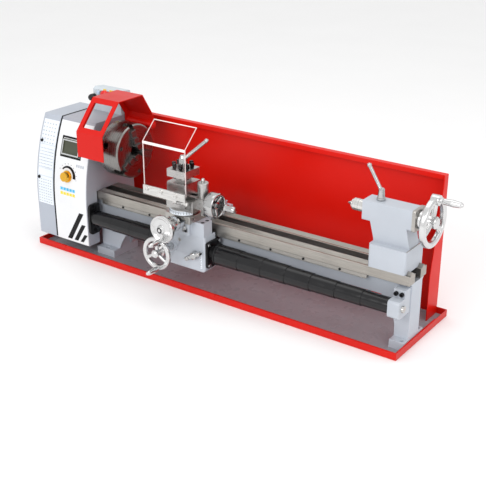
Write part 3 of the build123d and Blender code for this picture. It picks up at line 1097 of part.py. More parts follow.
# ---- tailstock ---------------------------------------------------------------------------------
with BuildPart() as tailstock:
    block(TAIL_X0, TAIL_X1, -38, 38, BED_TOP + GAP, 206)
    fillet(tailstock.edges().filter_by(Axis.Z), 5)
    with BuildSketch(Plane((0, 20, 0), x_dir=(1, 0, 0), z_dir=(0, -1, 0))):
        with BuildLine():
            Polyline(
                (TAIL_X0 + 1, 205), (TAIL_X0, 212), (297, 245), (297, 262), (374, 262), (374, 245),
                (382, 210), (384, 205), close=True,
            )
        make_face()
    extrude(amount=40)
    way_grooves(TAIL_X0, TAIL_X1, BED_TOP + GAP)
    with BuildSketch(yz_at(BARREL_X0)):
        with Locations((0, AXIS_Z)):
            RectangleRounded(2 * BARREL_HALF, 2 * BARREL_HALF, 3)
    extrude(amount=BARREL_X1 - BARREL_X0)
    with BuildSketch(yz_at(BARREL_X1)):
        with Locations((0, AXIS_Z)):
            RectangleRounded(2 * BARREL_HALF + 3, 2 * BARREL_HALF + 3, 4)
    extrude(amount=7)
    rod("x", BARREL_X0 - 1, BARREL_X1 + 0.5, 0, AXIS_Z, QUILL_R + FIT, Mode.SUBTRACT)
    rod("x", BARREL_X1, BARREL_X1 + 8, 0, AXIS_Z, 5 + FIT, Mode.SUBTRACT)
    rod("z", AXIS_Z + QUILL_R - 1, AXIS_Z + 30, 308, 0, 4.2, Mode.SUBTRACT)
    rod("y", 12, 22, 366, 234, 5.2, Mode.SUBTRACT)
finish_part(tailstock, "tailstock")

QUILL_END = 366.0
with BuildPart() as quill:
    rod("x", TIP_X + 15, QUILL_END, 0, AXIS_Z, QUILL_R)
    chamfer(quill.edges().group_by(Axis.X)[0], 1)
    rod("x", TIP_X + 14, TIP_X + 60, 0, AXIS_Z, 6 + FIT, Mode.SUBTRACT)
    rod("x", TIP_X + 64, QUILL_END + 1, 0, AXIS_Z, 7, Mode.SUBTRACT)
finish_part(quill, "quill")

with BuildPart() as live_centre:
    turned(
        "x", 0, AXIS_Z,
        (
            (TIP_X, 0), (TIP_X + 12, 7), (TIP_X + 12, 9.5), (TIP_X + 14.5, 9.5), (TIP_X + 14.5, 6),
            (TIP_X + 58, 6), (TIP_X + 58, 0),
        ),
    )
finish_part(live_centre, "live_centre")

TAIL_WHEEL_R = 50.0
with BuildPart() as tail_wheel:
    rod("x", 411, 423, 0, AXIS_Z, TAIL_WHEEL_R)
    rod("x", 410, 424, 0, AXIS_Z, TAIL_WHEEL_R - 12, Mode.SUBTRACT)
    fillet(tail_wheel.edges().filter_by(GeomType.CIRCLE), 4)
    turned(
        "x", 0, AXIS_Z,
        (
            (320, 0), (320, 5), (391.3, 5), (391.3, 18), (398, 18), (399, 14), (406, 14), (408, 12),
            (424, 12), (427, 9), (427, 0),
        ),
    )
    for k in range(3):
        a = radians(82 + 120 * k)
        sloped_rod(
            (415, 8 * cos(a), AXIS_Z + 8 * sin(a)),
            (417, (TAIL_WHEEL_R - 6) * cos(a), AXIS_Z + (TAIL_WHEEL_R - 6) * sin(a)), 5.5,
        )
    a = radians(82)
    y, z = (TAIL_WHEEL_R - 7) * cos(a), AXIS_Z + (TAIL_WHEEL_R - 7) * sin(a)
    rod("x", 409, 425, y, z, 10)
    turned("x", y, z, ((424, 0), (424, 4), (430, 4), (432, 5.5), (450, 7), (466, 5.5), (470, 3), (470, 0)))
finish_part(tail_wheel, "tail_wheel")

with BuildPart() as quill_lock:
    turned(
        "z", 308, 0,
        (
            (AXIS_Z + 14, 0), (AXIS_Z + 14, 4), (AXIS_Z + 20.4, 4), (AXIS_Z + 20.4, 9), (AXIS_Z + 25, 9),
            (AXIS_Z + 25, 7.5), (AXIS_Z + 42, 6), (AXIS_Z + 44, 4), (AXIS_Z + 44, 0),
        ),
    )
    sloped_rod((308, 0, AXIS_Z + 38), (279, 0, AXIS_Z + 84), 3.4)
    ball(279, 0, AXIS_Z + 84, 4.6)
finish_part(quill_lock, "quill_lock")

with BuildPart() as clamp_lever:
    rod("y", 13, 32, 366, 234, 5)
    rod("y", 20.4, 34, 366, 234, 9)
    sloped_rod((366, 28, 234), (395, 34, 283), 4)
    ball(395, 34, 283, 6)
finish_part(clamp_lever, "clamp_lever")
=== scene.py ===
"""Looks for the metal lathe: studio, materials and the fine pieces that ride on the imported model."""
import math
import random

import bpy
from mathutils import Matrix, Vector
from mathutils.bvhtree import BVHTree


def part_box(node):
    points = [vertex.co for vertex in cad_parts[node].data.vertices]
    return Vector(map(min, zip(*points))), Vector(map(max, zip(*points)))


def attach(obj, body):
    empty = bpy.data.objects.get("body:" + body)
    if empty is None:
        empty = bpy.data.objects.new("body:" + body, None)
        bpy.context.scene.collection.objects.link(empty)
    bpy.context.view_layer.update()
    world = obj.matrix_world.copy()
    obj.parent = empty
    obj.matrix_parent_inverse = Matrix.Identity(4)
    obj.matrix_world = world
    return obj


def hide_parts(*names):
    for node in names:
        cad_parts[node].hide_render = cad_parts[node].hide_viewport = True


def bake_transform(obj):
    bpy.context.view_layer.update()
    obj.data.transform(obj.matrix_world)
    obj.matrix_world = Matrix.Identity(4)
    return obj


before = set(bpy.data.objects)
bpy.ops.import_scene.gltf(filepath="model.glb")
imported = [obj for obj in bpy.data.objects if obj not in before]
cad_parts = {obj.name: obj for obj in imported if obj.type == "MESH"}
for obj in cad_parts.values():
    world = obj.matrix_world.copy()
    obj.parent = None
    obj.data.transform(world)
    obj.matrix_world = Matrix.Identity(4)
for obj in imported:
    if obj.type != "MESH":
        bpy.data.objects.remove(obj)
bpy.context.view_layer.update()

MM = 0.001
PI = math.pi


# ---- node helpers ------------------------------------------------------------------------------
class Nodes:
    """Short calls for building one material's node tree."""

    def __init__(self, name):
        self.material = bpy.data.materials.new(name)
        self.material.use_nodes = True
        self.tree = self.material.node_tree
        self.tree.nodes.clear()
        self.out = self.add("ShaderNodeOutputMaterial")
        self.bsdf = self.shader()
        self.link(self.bsdf.outputs[0], self.out.inputs[0])
        self.place = self.add("ShaderNodeTexCoord").outputs["Object"]

    def add(self, kind):
        return self.tree.nodes.new(kind)

    def link(self, a, b):
        self.tree.links.new(a, b)

    def put(self, value, socket):
        if isinstance(value, bpy.types.NodeSocket):
            self.link(value, socket)
        else:
            socket.default_value = value

    def shader(self):
        return self.add("ShaderNodeBsdfPrincipled")

    def math(self, op, a, b=0.0):
        node = self.add("ShaderNodeMath")
        node.operation = op
        self.put(a, node.inputs[0])
        self.put(b, node.inputs[1])
        return node.outputs[0]

    def axes(self):
        node = self.add("ShaderNodeSeparateXYZ")
        self.link(self.place, node.inputs[0])
        return node.outputs

    def vector(self, x, y, z):
        node = self.add("ShaderNodeCombineXYZ")
        for value, socket in zip((x, y, z), node.inputs):
            self.put(value, socket)
        return node.outputs[0]

    def stretched(self, x, y, z):
        node = self.add("ShaderNodeMapping")
        self.link(self.place, node.inputs["Vector"])
        node.inputs["Scale"].default_value = (x, y, z)
        return node.outputs[0]

    def noise(self, scale, detail=3.0, vector=None, roughness=0.5):
        node = self.add("ShaderNodeTexNoise")
        node.inputs["Scale"].default_value = scale
        node.inputs["Detail"].default_value = detail
        node.inputs["Roughness"].default_value = roughness
        self.link(vector or self.place, node.inputs["Vector"])
        return node.outputs[0]

    def span(self, value, low, high, to_low=0.0, to_high=1.0):
        node = self.add("ShaderNodeMapRange")
        self.put(value, node.inputs["Value"])
        node.inputs["From Min"].default_value = low
        node.inputs["From Max"].default_value = high
        node.inputs["To Min"].default_value = to_low
        node.inputs["To Max"].default_value = to_high
        return node.outputs[0]

    def blend(self, factor, a, b):
        node = self.add("ShaderNodeMix")
        node.data_type = "RGBA"
        self.put(factor, node.inputs[0])
        self.put(rgba(a), node.inputs[6])
        self.put(rgba(b), node.inputs[7])
        return node.outputs[2]

    def bump(self, height, strength, distance, after=None):
        node = self.add("ShaderNodeBump")
        node.inputs["Strength"].default_value = strength
        node.inputs["Distance"].default_value = distance
        self.link(height, node.inputs["Height"])
        if after:
            self.link(after, node.inputs["Normal"])
        return node.outputs[0]

    def edges(self, radius):
        """1 on convex and concave edges, 0 on flats."""
        rounded = self.add("ShaderNodeBevel")
        rounded.samples = 4
        rounded.inputs["Radius"].default_value = radius
        plain = self.add("ShaderNodeNewGeometry")
        dot = self.add("ShaderNodeVectorMath")
        dot.operation = "DOT_PRODUCT"
        self.link(rounded.outputs[0], dot.inputs[0])
        self.link(plain.outputs["Normal"], dot.inputs[1])
        return self.span(dot.outputs["Value"], 0.97, 0.80)


def rgba(value):
    return (*value, 1.0) if isinstance(value, tuple) and len(value) == 3 else value


def tone(colour, gain):
    return tuple(min(1.0, c * gain) for c in colour)


# ---- materials ---------------------------------------------------------------------------------
def paint(name, colour, roughness=0.35, gloss=0.5, peel=0.12, grime=0.93, wear=None):
    """Sprayed enamel: orange-peel bump, slow colour drift, and lighter rubbed edges."""
    n = Nodes(name)
    drift = n.span(n.noise(7.0, 4.0), 0.35, 0.65)
    base = n.blend(drift, tone(colour, grime), colour)
    speck = n.span(n.noise(420.0, 2.0), 0.68, 0.74)
    base = n.blend(n.math("MULTIPLY", speck, 0.25), base, tone(colour, 0.6))
    base = n.blend(n.math("MULTIPLY", n.edges(0.0009), 0.5), base, wear or tone(colour, 1.3))
    n.link(base, n.bsdf.inputs["Base Color"])
    n.bsdf.inputs["Specular IOR Level"].default_value = gloss
    gloss_drift = n.span(n.noise(22.0, 5.0), 0.3, 0.7, roughness - 0.04, roughness + 0.05)
    n.link(gloss_drift, n.bsdf.inputs["Roughness"])
    n.link(n.bump(n.noise(650.0, 2.0), peel, 0.0004), n.bsdf.inputs["Normal"])
    return n.material


def casting(name, colour, roughness=0.42):
    """Painted casting: the paint lies over a slightly lumpy, grainy surface."""
    n = Nodes(name)
    drift = n.span(n.noise(11.0, 5.0), 0.3, 0.7)
    base = n.blend(drift, tone(colour, 0.86), tone(colour, 1.03))
    base = n.blend(n.math("MULTIPLY", n.edges(0.0011), 0.45), base, tone(colour, 1.3))
    n.link(base, n.bsdf.inputs["Base Color"])
    n.link(n.span(n.noise(35.0, 4.0), 0.3, 0.7, roughness - 0.1, roughness + 0.1), n.bsdf.inputs["Roughness"])
    lumps = n.bump(n.noise(70.0, 3.0), 0.25, 0.0012)
    n.link(n.bump(n.noise(900.0, 2.0), 0.16, 0.0004, lumps), n.bsdf.inputs["Normal"])
    n.bsdf.inputs["Coat Weight"].default_value = 0.25
    n.bsdf.inputs["Coat Roughness"].default_value = 0.2
    return n.material


def brushed_parts(n, colour, roughness, grain, scale, bsdf):
    """Adds the grain of ground metal: fine scratches along the axis whose grain value is small."""
    lines = n.noise(scale, 4.0, n.stretched(*grain), 0.65)
    cloud = n.noise(18.0, 3.0)
    base = n.blend(n.span(lines, 0.3, 0.7), tone(colour, 0.74), tone(colour, 1.08))
    base = n.blend(n.span(cloud, 0.45, 0.75, 0.0, 0.45), base, tone(colour, 0.66))
    base = n.blend(n.math("MULTIPLY", n.edges(0.0007), 0.7), base, tone(colour, 1.45))
    n.link(base, bsdf.inputs["Base Color"])
    bsdf.inputs["Metallic"].default_value = 1.0
    n.link(n.span(lines, 0.25, 0.75, roughness - 0.08, roughness + 0.12), bsdf.inputs["Roughness"])
    n.link(n.bump(lines, 0.22, 0.0002), bsdf.inputs["Normal"])


def ground_metal(name, colour, roughness=0.3, grain=(0.06, 1.0, 1.0), scale=900.0):
    n = Nodes(name)
    brushed_parts(n, colour, roughness, grain, scale, n.bsdf)
    return n.material


def turned_metal(name, colour, axis, centre, roughness=0.25, scale=1500.0):
    """Metal turned about a line along X, Y or Z: the tool marks are rings about that line."""
    n = Nodes(name)
    xyz = n.axes()
    along = xyz["XYZ".index(axis)]
    across = [xyz[i] for i in range(3) if "XYZ"[i] != axis]
    a = n.math("SUBTRACT", across[0], centre[0])
    b = n.math("SUBTRACT", across[1], centre[1])
    radius = n.math("SQRT", n.math("ADD", n.math("MULTIPLY", a, a), n.math("MULTIPLY", b, b)))
    rings = n.noise(scale, 3.0, n.vector(along, radius, 0.0), 0.6)
    smear = n.noise(30.0, 3.0)
    base = n.blend(n.span(rings, 0.3, 0.7), tone(colour, 0.78), tone(colour, 1.1))
    base = n.blend(n.span(smear, 0.5, 0.8, 0.0, 0.4), base, tone(colour, 0.7))
    base = n.blend(n.math("MULTIPLY", n.edges(0.0007), 0.6), base, tone(colour, 1.4))
    n.link(base, n.bsdf.inputs["Base Color"])
    n.bsdf.inputs["Metallic"].default_value = 1.0
    n.link(n.span(rings, 0.25, 0.75, roughness - 0.07, roughness + 0.12), n.bsdf.inputs["Roughness"])
    n.link(n.bump(rings, 0.18, 0.0002), n.bsdf.inputs["Normal"])
    return n.material


def bright_metal(name, colour, roughness=0.12):
    """Polished or cast-and-polished alloy with faint smudges and hairline scratches."""
    n = Nodes(name)
    smudge = n.noise(45.0, 4.0)
    hair = n.noise(1200.0, 2.0, n.stretched(1.0, 0.08, 0.5))
    base = n.blend(n.span(smudge, 0.4, 0.75, 0.0, 0.6), colour, tone(colour, 0.84))
    base = n.blend(n.math("MULTIPLY", n.edges(0.0006), 0.4), base, tone(colour, 1.2))
    n.link(base, n.bsdf.inputs["Base Color"])
    n.bsdf.inputs["Metallic"].default_value = 1.0
    n.link(n.span(smudge, 0.3, 0.8, roughness - 0.05, roughness + 0.14), n.bsdf.inputs["Roughness"])
    n.link(n.bump(hair, 0.08, 0.0001), n.bsdf.inputs["Normal"])
    return n.material


def plastic(name, colour, roughness=0.25, dust=1.5, grain=0.08, gloss=0.5):
    """Moulded plastic: fine moulded texture, slight dust, scuffed edges."""
    n = Nodes(name)
    cloud = n.span(n.noise(25.0, 4.0), 0.35, 0.75)
    base = n.blend(cloud, colour, tone(colour, dust))
    base = n.blend(n.math("MULTIPLY", n.edges(0.0005), 0.35), base, tone(colour, dust * 1.6))
    n.link(base, n.bsdf.inputs["Base Color"])
    n.bsdf.inputs["Specular IOR Level"].default_value = gloss
    gloss_drift = n.span(n.noise(60.0, 3.0), 0.3, 0.7, roughness - 0.06, roughness + 0.1)
    n.link(gloss_drift, n.bsdf.inputs["Roughness"])
    n.link(n.bump(n.noise(1400.0, 2.0), grain, 0.0002), n.bsdf.inputs["Normal"])
    return n.material


def clear_sheet(name, colour, alpha):
    """Clear safety plastic: mostly see-through, with gloss and faint wipe marks."""
    n = Nodes(name)
    wipes = n.noise(60.0, 4.0, n.stretched(1.0, 0.3, 0.12))
    n.link(n.blend(n.span(wipes, 0.4, 0.7), colour, tone(colour, 0.9)), n.bsdf.inputs["Base Color"])
    n.link(n.span(wipes, 0.3, 0.7, 0.03, 0.12), n.bsdf.inputs["Roughness"])
    n.link(n.span(wipes, 0.3, 0.8, alpha, alpha + 0.012), n.bsdf.inputs["Alpha"])
    n.link(n.bump(wipes, 0.02, 0.0002), n.bsdf.inputs["Normal"])
    return n.material


def part_ground(name, paint_colour, steel_colour, axis, low, high, floor=-1.0):
    """Painted casting, left as bare ground steel past a given place along one axis, above a floor height."""
    n = Nodes(name)
    steel = n.shader()
    brushed_parts(n, steel_colour, 0.34, (0.03, 1.0, 1.0), 700.0, steel)
    drift = n.span(n.noise(9.0, 5.0), 0.3, 0.7)
    n.link(n.blend(drift, tone(paint_colour, 0.88), paint_colour), n.bsdf.inputs["Base Color"])
    n.link(n.span(n.noise(35.0, 4.0), 0.3, 0.7, 0.32, 0.5), n.bsdf.inputs["Roughness"])
    n.link(n.bump(n.noise(120.0, 4.0), 0.25, 0.0010), n.bsdf.inputs["Normal"])
    mix = n.add("ShaderNodeMixShader")
    bare = n.math("MULTIPLY", n.span(n.axes()[axis], low, high), n.span(n.axes()["Z"], floor, floor + 0.0005))
    n.link(bare, mix.inputs[0])
    n.link(n.bsdf.outputs[0], mix.inputs[1])
    n.link(steel.outputs[0], mix.inputs[2])
    n.link(mix.outputs[0], n.out.inputs[0])
    return n.material


RED = (0.70, 0.008, 0.003)
CAST = (0.491, 0.525, 0.580)
AXIS_Z = 0.263
AXIS_CROSS_Z = 0.1695
SCREW_AXIS = (-0.054, 0.098)

MATERIALS = {
    "tray_red": paint("tray_red", (0.62, 0.008, 0.003), 0.30, gloss=0.25, peel=0.08),
    "panel_red": paint("panel_red", RED, 0.34, gloss=0.16, peel=0.05, grime=0.97),
    "guard_red": paint("guard_red", (0.62, 0.007, 0.003), 0.36, gloss=0.22, peel=0.08),
    "cast": casting("cast_grey", CAST),
    "cast_pale": casting("cast_pale", (0.66, 0.69, 0.73)),
    "housing": paint("housing_grey", (0.37, 0.38, 0.43), 0.38, peel=0.14),
    "fascia": paint("fascia_white", (0.80, 0.81, 0.83), 0.36, peel=0.05, grime=0.95),
    "cover": paint("cover_grey", (0.43, 0.465, 0.53), 0.38, peel=0.12),
    "control": paint("control_grey", (0.56, 0.62, 0.66), 0.36, peel=0.10),
    "bed": part_ground("bed_finish", (0.50, 0.535, 0.595), (0.44, 0.415, 0.38), "Z", 0.1378, 0.1382),
    "tailstock": part_ground("tailstock_finish", CAST, (0.50, 0.48, 0.45), "X", 0.3842, 0.3844, 0.205),
    "steel_y": ground_metal("ground_steel_y", (0.50, 0.485, 0.46), 0.33, (1.0, 0.05, 1.0)),
    "block": ground_metal("milled_block", (0.52, 0.51, 0.50), 0.30, (0.08, 1.0, 1.0), 1100.0),
    "rack": ground_metal("rack_steel", (0.46, 0.44, 0.41), 0.36, (0.1, 1.0, 1.0)),
    "chuck": turned_metal("chuck_steel", (0.27, 0.26, 0.25), "X", (0.0, AXIS_Z), 0.26, 1300.0),
    "jaw": ground_metal("jaw_steel", (0.22, 0.215, 0.21), 0.34, (1.0, 0.1, 1.0), 1000.0),
    "centre": turned_metal("centre_steel", (0.74, 0.73, 0.71), "X", (0.0, AXIS_Z), 0.2, 1800.0),
    "gear": ground_metal("gear_steel", (0.45, 0.44, 0.43), 0.35, (1.0, 1.0, 1.0)),
    "screw_rod": turned_metal("screw_rod", (0.55, 0.54, 0.52), "X", SCREW_AXIS, 0.28),
    "wheel": bright_metal("wheel_alloy", (0.68, 0.68, 0.68), 0.20),
    "bright": bright_metal("bright_steel", (0.50, 0.50, 0.50), 0.15),
    "strip": ground_metal("strip_alloy", (0.72, 0.71, 0.69), 0.3, (0.05, 1.0, 1.0)),
    "black": plastic("black_cover", (0.004, 0.004, 0.005), 0.15, grain=0.03, gloss=0.42),
    "black_steel": paint("black_steel", (0.005, 0.005, 0.006), 0.34, gloss=0.3, wear=(0.06, 0.06, 0.06)),
    "oxide": ground_metal("black_oxide", (0.028, 0.028, 0.030), 0.38, (1.0, 1.0, 1.0)),
    "rubber": plastic("belt_rubber", (0.02, 0.02, 0.02), 0.7, grain=0.4),
    "screen": plastic("display_screen", (0.055, 0.060, 0.038), 0.12, 1.15, 0.02),
    "gold": bright_metal("knob_gold", (0.82, 0.46, 0.06), 0.22),
    "stop_red": plastic("stop_red", (0.62, 0.008, 0.006), 0.25, 1.2, 0.05),
    "blue": plastic("start_blue", (0.45, 0.55, 0.70), 0.25, 1.2, 0.05),
    "yellow": plastic("base_yellow", (0.80, 0.60, 0.02), 0.3, 1.15),
    "clear": clear_sheet("clear_shield", (0.70, 0.30, 0.30), 0.004),
    "print_black": plastic("print_black", (0.004, 0.004, 0.005), 0.45, 1.4, gloss=0.2),
    "print_grey": plastic("print_grey", (0.42, 0.45, 0.50), 0.5, 1.2),
    "print_blue": plastic("print_blue", (0.05, 0.42, 0.72), 0.4, 1.2),
    "silver": bright_metal("silver_trim", (0.72, 0.73, 0.75), 0.3),
    "chart": plastic("chart_plate", (0.74, 0.79, 0.85), 0.32, 1.08, 0.04),
    # Painted highlight: the pale pink stands in for light caught in the clear guard's cut edges and fold.
    "acrylic_edge": plastic("acrylic_edge", (0.90, 0.78, 0.76), 0.2, 1.05, 0.03),
    "motor": paint("motor_black", (0.03, 0.03, 0.035), 0.45, wear=(0.2, 0.2, 0.2)),
}

NODE_MATERIAL = {
    "tray_red": ["chip_tray"],
    "panel_red": ["back_panel"],
    "guard_red": ["chuck_guard"],
    "cast": ["saddle", "apron", "tail_bracket"],
    "tailstock": ["tailstock"],
    "housing": ["headstock_housing"],
    "fascia": ["fascia_panel"],
    "cover": ["gear_cover"],
    "control": ["control_box"],
    "bed": ["bed"],
    "rack": ["rack"],
    "steel_y": ["cross_slide"],
    "block": ["compound_base", "top_slide", "tool_post"],
    "chuck": ["chuck_body", "chuck_backplate", "spindle"],
    "centre": ["quill", "live_centre"],
    "jaw": ["jaw_1", "jaw_2", "jaw_3"],
    "gear": [
        "spindle_gear", "idler_gear_a", "idler_gear_b", "leadscrew_gear", "rack_pinion",
        "spindle_bearings", "motor_rotor",
    ],
    "screw_rod": ["leadscrew"],
    "wheel": ["carriage_wheel", "cross_wheel", "tail_wheel", "banjo_plate"],
    "bright": [
        "half_nut_lever", "top_wheel", "tool_post_lever", "quill_lock", "clamp_lever", "carriage_screws",
    ],
    "strip": ["guard_strip"],
    "black": ["left_cover", "right_cover", "stop_button"],
    "black_steel": ["leadscrew_flange", "apron_plate"],
    "oxide": ["fixed_screws", "cover_screws", "tool_post_screws", "chuck_pinions"],
    "rubber": ["drive_belt"],
    "screen": ["display_unit"],
    "gold": ["speed_knob"],
    "stop_red": ["estop_button"],
    "blue": ["start_button"],
    "clear": ["tool_guard"],
    "motor": ["motor_body"],
}
EDGE_MM = {
    "chip_tray": 0.4, "back_panel": 0.5, "chuck_guard": 0.5, "fascia_panel": 0.6, "gear_cover": 1.2,
    "headstock_housing": 1.0, "control_box": 0.8, "bed": 0.8, "saddle": 1.0, "apron": 1.0,
    "tailstock": 1.0, "tool_guard": 0.3,
}
UNBEVELLED = {"rack", "spindle_gear", "idler_gear_a", "idler_gear_b", "leadscrew_gear", "rack_pinion"}


def soften(obj, width):
    """Joins the loose corners of a mesh and, given a width, rounds its sharp edges with hardened normals."""
    weld = obj.modifiers.new("weld", "WELD")
    weld.merge_threshold = 0.00001
    if width:
        bevel = obj.modifiers.new("bevel", "BEVEL")
        bevel.width = width * MM
        bevel.segments = 2
        bevel.limit_method = "ANGLE"
        bevel.angle_limit = math.radians(32)
        bevel.harden_normals = True
        bevel.use_clamp_overlap = True


def dress_cad_nodes():
    for key, nodes in NODE_MATERIAL.items():
        for node in nodes:
            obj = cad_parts[node]
            obj.data.materials.clear()
            obj.data.materials.append(MATERIALS[key])
            soften(obj, 0.0 if node in UNBEVELLED else EDGE_MM.get(node, 0.5))


# ---- studio ------------------------------------------------------------------------------------
def aim(obj, target):
    obj.rotation_mode = "QUATERNION"
    obj.rotation_quaternion = (Vector(target) - obj.location).to_track_quat("-Z", "Y")


def area_light(name, place, target, size, power):
    data = bpy.data.lights.new(name, "AREA")
    data.shape = "RECTANGLE"
    data.size, data.size_y = size
    data.energy = power
    obj = bpy.data.objects.new(name, data)
    bpy.context.scene.collection.objects.link(obj)
    obj.location = place
    aim(obj, target)


def studio():
    scene = bpy.context.scene
    world = bpy.data.worlds.new("studio")
    world.use_nodes = True
    world.node_tree.nodes["Background"].inputs[0].default_value = (1.0, 1.0, 1.0, 1.0)
    world.node_tree.nodes["Background"].inputs[1].default_value = 0.92
    scene.world = world
    scene.view_settings.view_transform = "Standard"
    area_light("key", (0.10, -2.4, 1.5), (-0.1, 0.0, 0.15), (1.6, 0.9), 24)
    area_light("fill", (1.9, -0.7, 1.2), (0.1, 0.0, 0.15), (1.0, 1.0), 5)
    area_light("top", (0.0, 0.3, 2.2), (0.0, 0.0, 0.1), (2.2, 1.2), 9)
    half = 6.0
    mesh = bpy.data.meshes.new("floor")
    corners = [(-half, -half, 0), (half, -half, 0), (half, half, 0), (-half, half, 0)]
    mesh.from_pydata(corners, [], [(0, 1, 2, 3)])
    floor = bpy.data.objects.new("floor", mesh)
    floor.location.z = -0.0005
    scene.collection.objects.link(floor)
    n = Nodes("floor_paper")
    n.link(n.blend(n.noise(3.0), (0.92, 0.92, 0.92), (0.95, 0.95, 0.95)), n.bsdf.inputs["Base Color"])
    n.bsdf.inputs["Roughness"].default_value = 0.8
    mesh.materials.append(n.material)


def camera():
    azimuth, elevation = math.radians(35.83), math.radians(23.33)
    data = bpy.data.cameras.new("camera")
    data.sensor_width = 36.0
    data.lens = 69.77
    cam = bpy.data.objects.new("camera", data)
    bpy.context.scene.collection.objects.link(cam)
    cam.location = (1.0768, -1.5137, 0.9172)
    flat = math.cos(elevation)
    back = Vector((math.sin(azimuth) * flat, -math.cos(azimuth) * flat, math.sin(elevation)))
    cam.rotation_mode = "QUATERNION"
    cam.rotation_quaternion = (-back).to_track_quat("-Z", "Y")
    bpy.context.scene.camera = cam


# ---- piece helpers -----------------------------------------------------------------------------
def piece(name, verts, faces, body, material, slot, bevel=0.0, smooth=True):
    """A mesh in the row frame that rides on a body of the frame."""
    mesh = bpy.data.meshes.new(name)
    mesh.from_pydata([tuple(v) for v in verts], [], faces)
    mesh.validate()
    mesh.update()
    if smooth:
        mesh.shade_smooth()
        mesh.set_sharp_from_angle(angle=math.radians(35))
    obj = bpy.data.objects.new(name, mesh)
    bpy.context.scene.collection.objects.link(obj)
    mesh.materials.append(MATERIALS[material])
    if bevel:
        mod = obj.modifiers.new("bevel", "BEVEL")
        mod.width = bevel
        mod.segments = 2
        mod.limit_method = "ANGLE"
        mod.angle_limit = math.radians(35)
        mod.harden_normals = True
    if body:
        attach(obj, body)
    return obj


def box_mesh(lo, hi):
    x0, y0, z0 = lo
    x1, y1, z1 = hi
    verts = [(x, y, z) for x in (x0, x1) for y in (y0, y1) for z in (z0, z1)]
    faces = [(0, 1, 3, 2), (4, 6, 7, 5), (0, 4, 5, 1), (2, 3, 7, 6), (0, 2, 6, 4), (1, 5, 7, 3)]
    return verts, faces


def lathe_mesh(axis, centre, profile, steps=64):
    """Rings of (position, radius) about a line along X, Y or Z through centre; ends at radius 0 close it."""
    order = {"x": (0, 1, 2), "y": (1, 2, 0), "z": (2, 0, 1)}[axis]
    verts, faces, rows = [], [], []
    for pos, radius in profile:
        row = []
        for k in range(1 if radius == 0 else steps):
            angle = 2 * PI * k / steps
            p = [0.0, 0.0, 0.0]
            p[order[0]] = pos
            p[order[1]] = centre[0] + radius * math.cos(angle)
            p[order[2]] = centre[1] + radius * math.sin(angle)
            row.append(len(verts))
            verts.append(tuple(p))
        rows.append(row)
    for a, b in zip(rows, rows[1:]):
        for k in range(steps):
            a0, a1 = a[k % len(a)], a[(k + 1) % len(a)]
            b0, b1 = b[k % len(b)], b[(k + 1) % len(b)]
            face = list(dict.fromkeys((a0, a1, b1, b0)))
            if len(face) > 2:
                faces.append(tuple(face))
    return verts, faces


def joined(meshes):
    verts, faces = [], []
    for v, f in meshes:
        base = len(verts)
        verts += list(v)
        faces += [tuple(i + base for i in face) for face in f]
    return verts, faces


# ---- leadscrew covers --------------------------------------------------------------------------
def spiral_cover(name, start, end, r_start, r_end, laps, fixed_first):
    """Lapped black cover that runs between the fixed bracket and the carriage."""
    centre_y, centre_z = SCREW_AXIS
    bore = 0.0125
    profile = [(start, bore)]
    step = (end - start) / laps
    for i in range(laps):
        r = r_start + (r_end - r_start) * i / max(laps - 1, 1)
        a = start + i * step
        profile.append((a, r - 0.0008))
        profile.append((a + 0.0008, r))
        for k in range(1, 9):
            profile.append((a + step * k / 9, r - 0.0002 * k / 9))
        profile.append((a + step - 0.0008, r - 0.0003))
        profile.append((a + step, r - 0.0012))
    profile.append((end, bore))
    profile.append((start, bore))
    verts, faces = lathe_mesh("x", (centre_y, centre_z), profile, 56)
    obj = piece(name, verts, faces, None, "black", "black_cover")
    node = "left_cover" if fixed_first else "right_cover"
    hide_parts(node)
    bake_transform(obj)


def leadscrew_covers():
    lo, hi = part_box("left_cover")
    spiral_cover("left_spiral", lo.x, hi.x, 0.0182, 0.0206, 4, True)
    lo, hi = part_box("right_cover")
    spiral_cover("right_spiral", lo.x, hi.x, 0.0228, 0.0162, 7, False)


# ---- chip tray floor ---------------------------------------------------------------------------
def tray_floor():
    lo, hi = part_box("chip_tray")
    n = Nodes("tray_floor_grey")
    cloud = n.noise(5.0, 4.0)
    base = n.blend(n.span(cloud, 0.3, 0.7), (0.300, 0.305, 0.335), (0.318, 0.323, 0.353))
    n.link(base, n.bsdf.inputs["Base Color"])
    n.bsdf.inputs["Specular IOR Level"].default_value = 0.32
    n.link(n.span(n.noise(30.0, 4.0), 0.3, 0.7, 0.26, 0.30), n.bsdf.inputs["Roughness"])
    n.link(n.bump(n.noise(500.0, 2.0), 0.05, 0.0003), n.bsdf.inputs["Normal"])
    MATERIALS["tray_floor"] = n.material
    inset = 0.0022
    verts, faces = box_mesh((lo.x + inset, lo.y + inset, 0.00155), (hi.x - inset, hi.y - 0.0040, 0.0020))
    piece("tray_floor_sheet", verts, faces, "machine", "tray_floor", "red_paint", 0.0002, False)


# ---- flat graphics laid on curved skins --------------------------------------------------------
def skin(node):
    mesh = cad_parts[node].data
    return BVHTree.FromPolygons([v.co for v in mesh.vertices], [tuple(p.vertices) for p in mesh.polygons])


def front_of(tree, x, z):
    """Y of the first surface that a straight look along +Y meets at this X and Z."""
    hit = tree.ray_cast(Vector((x, -0.5, z)), Vector((0, 1, 0)))[0]
    return hit.y


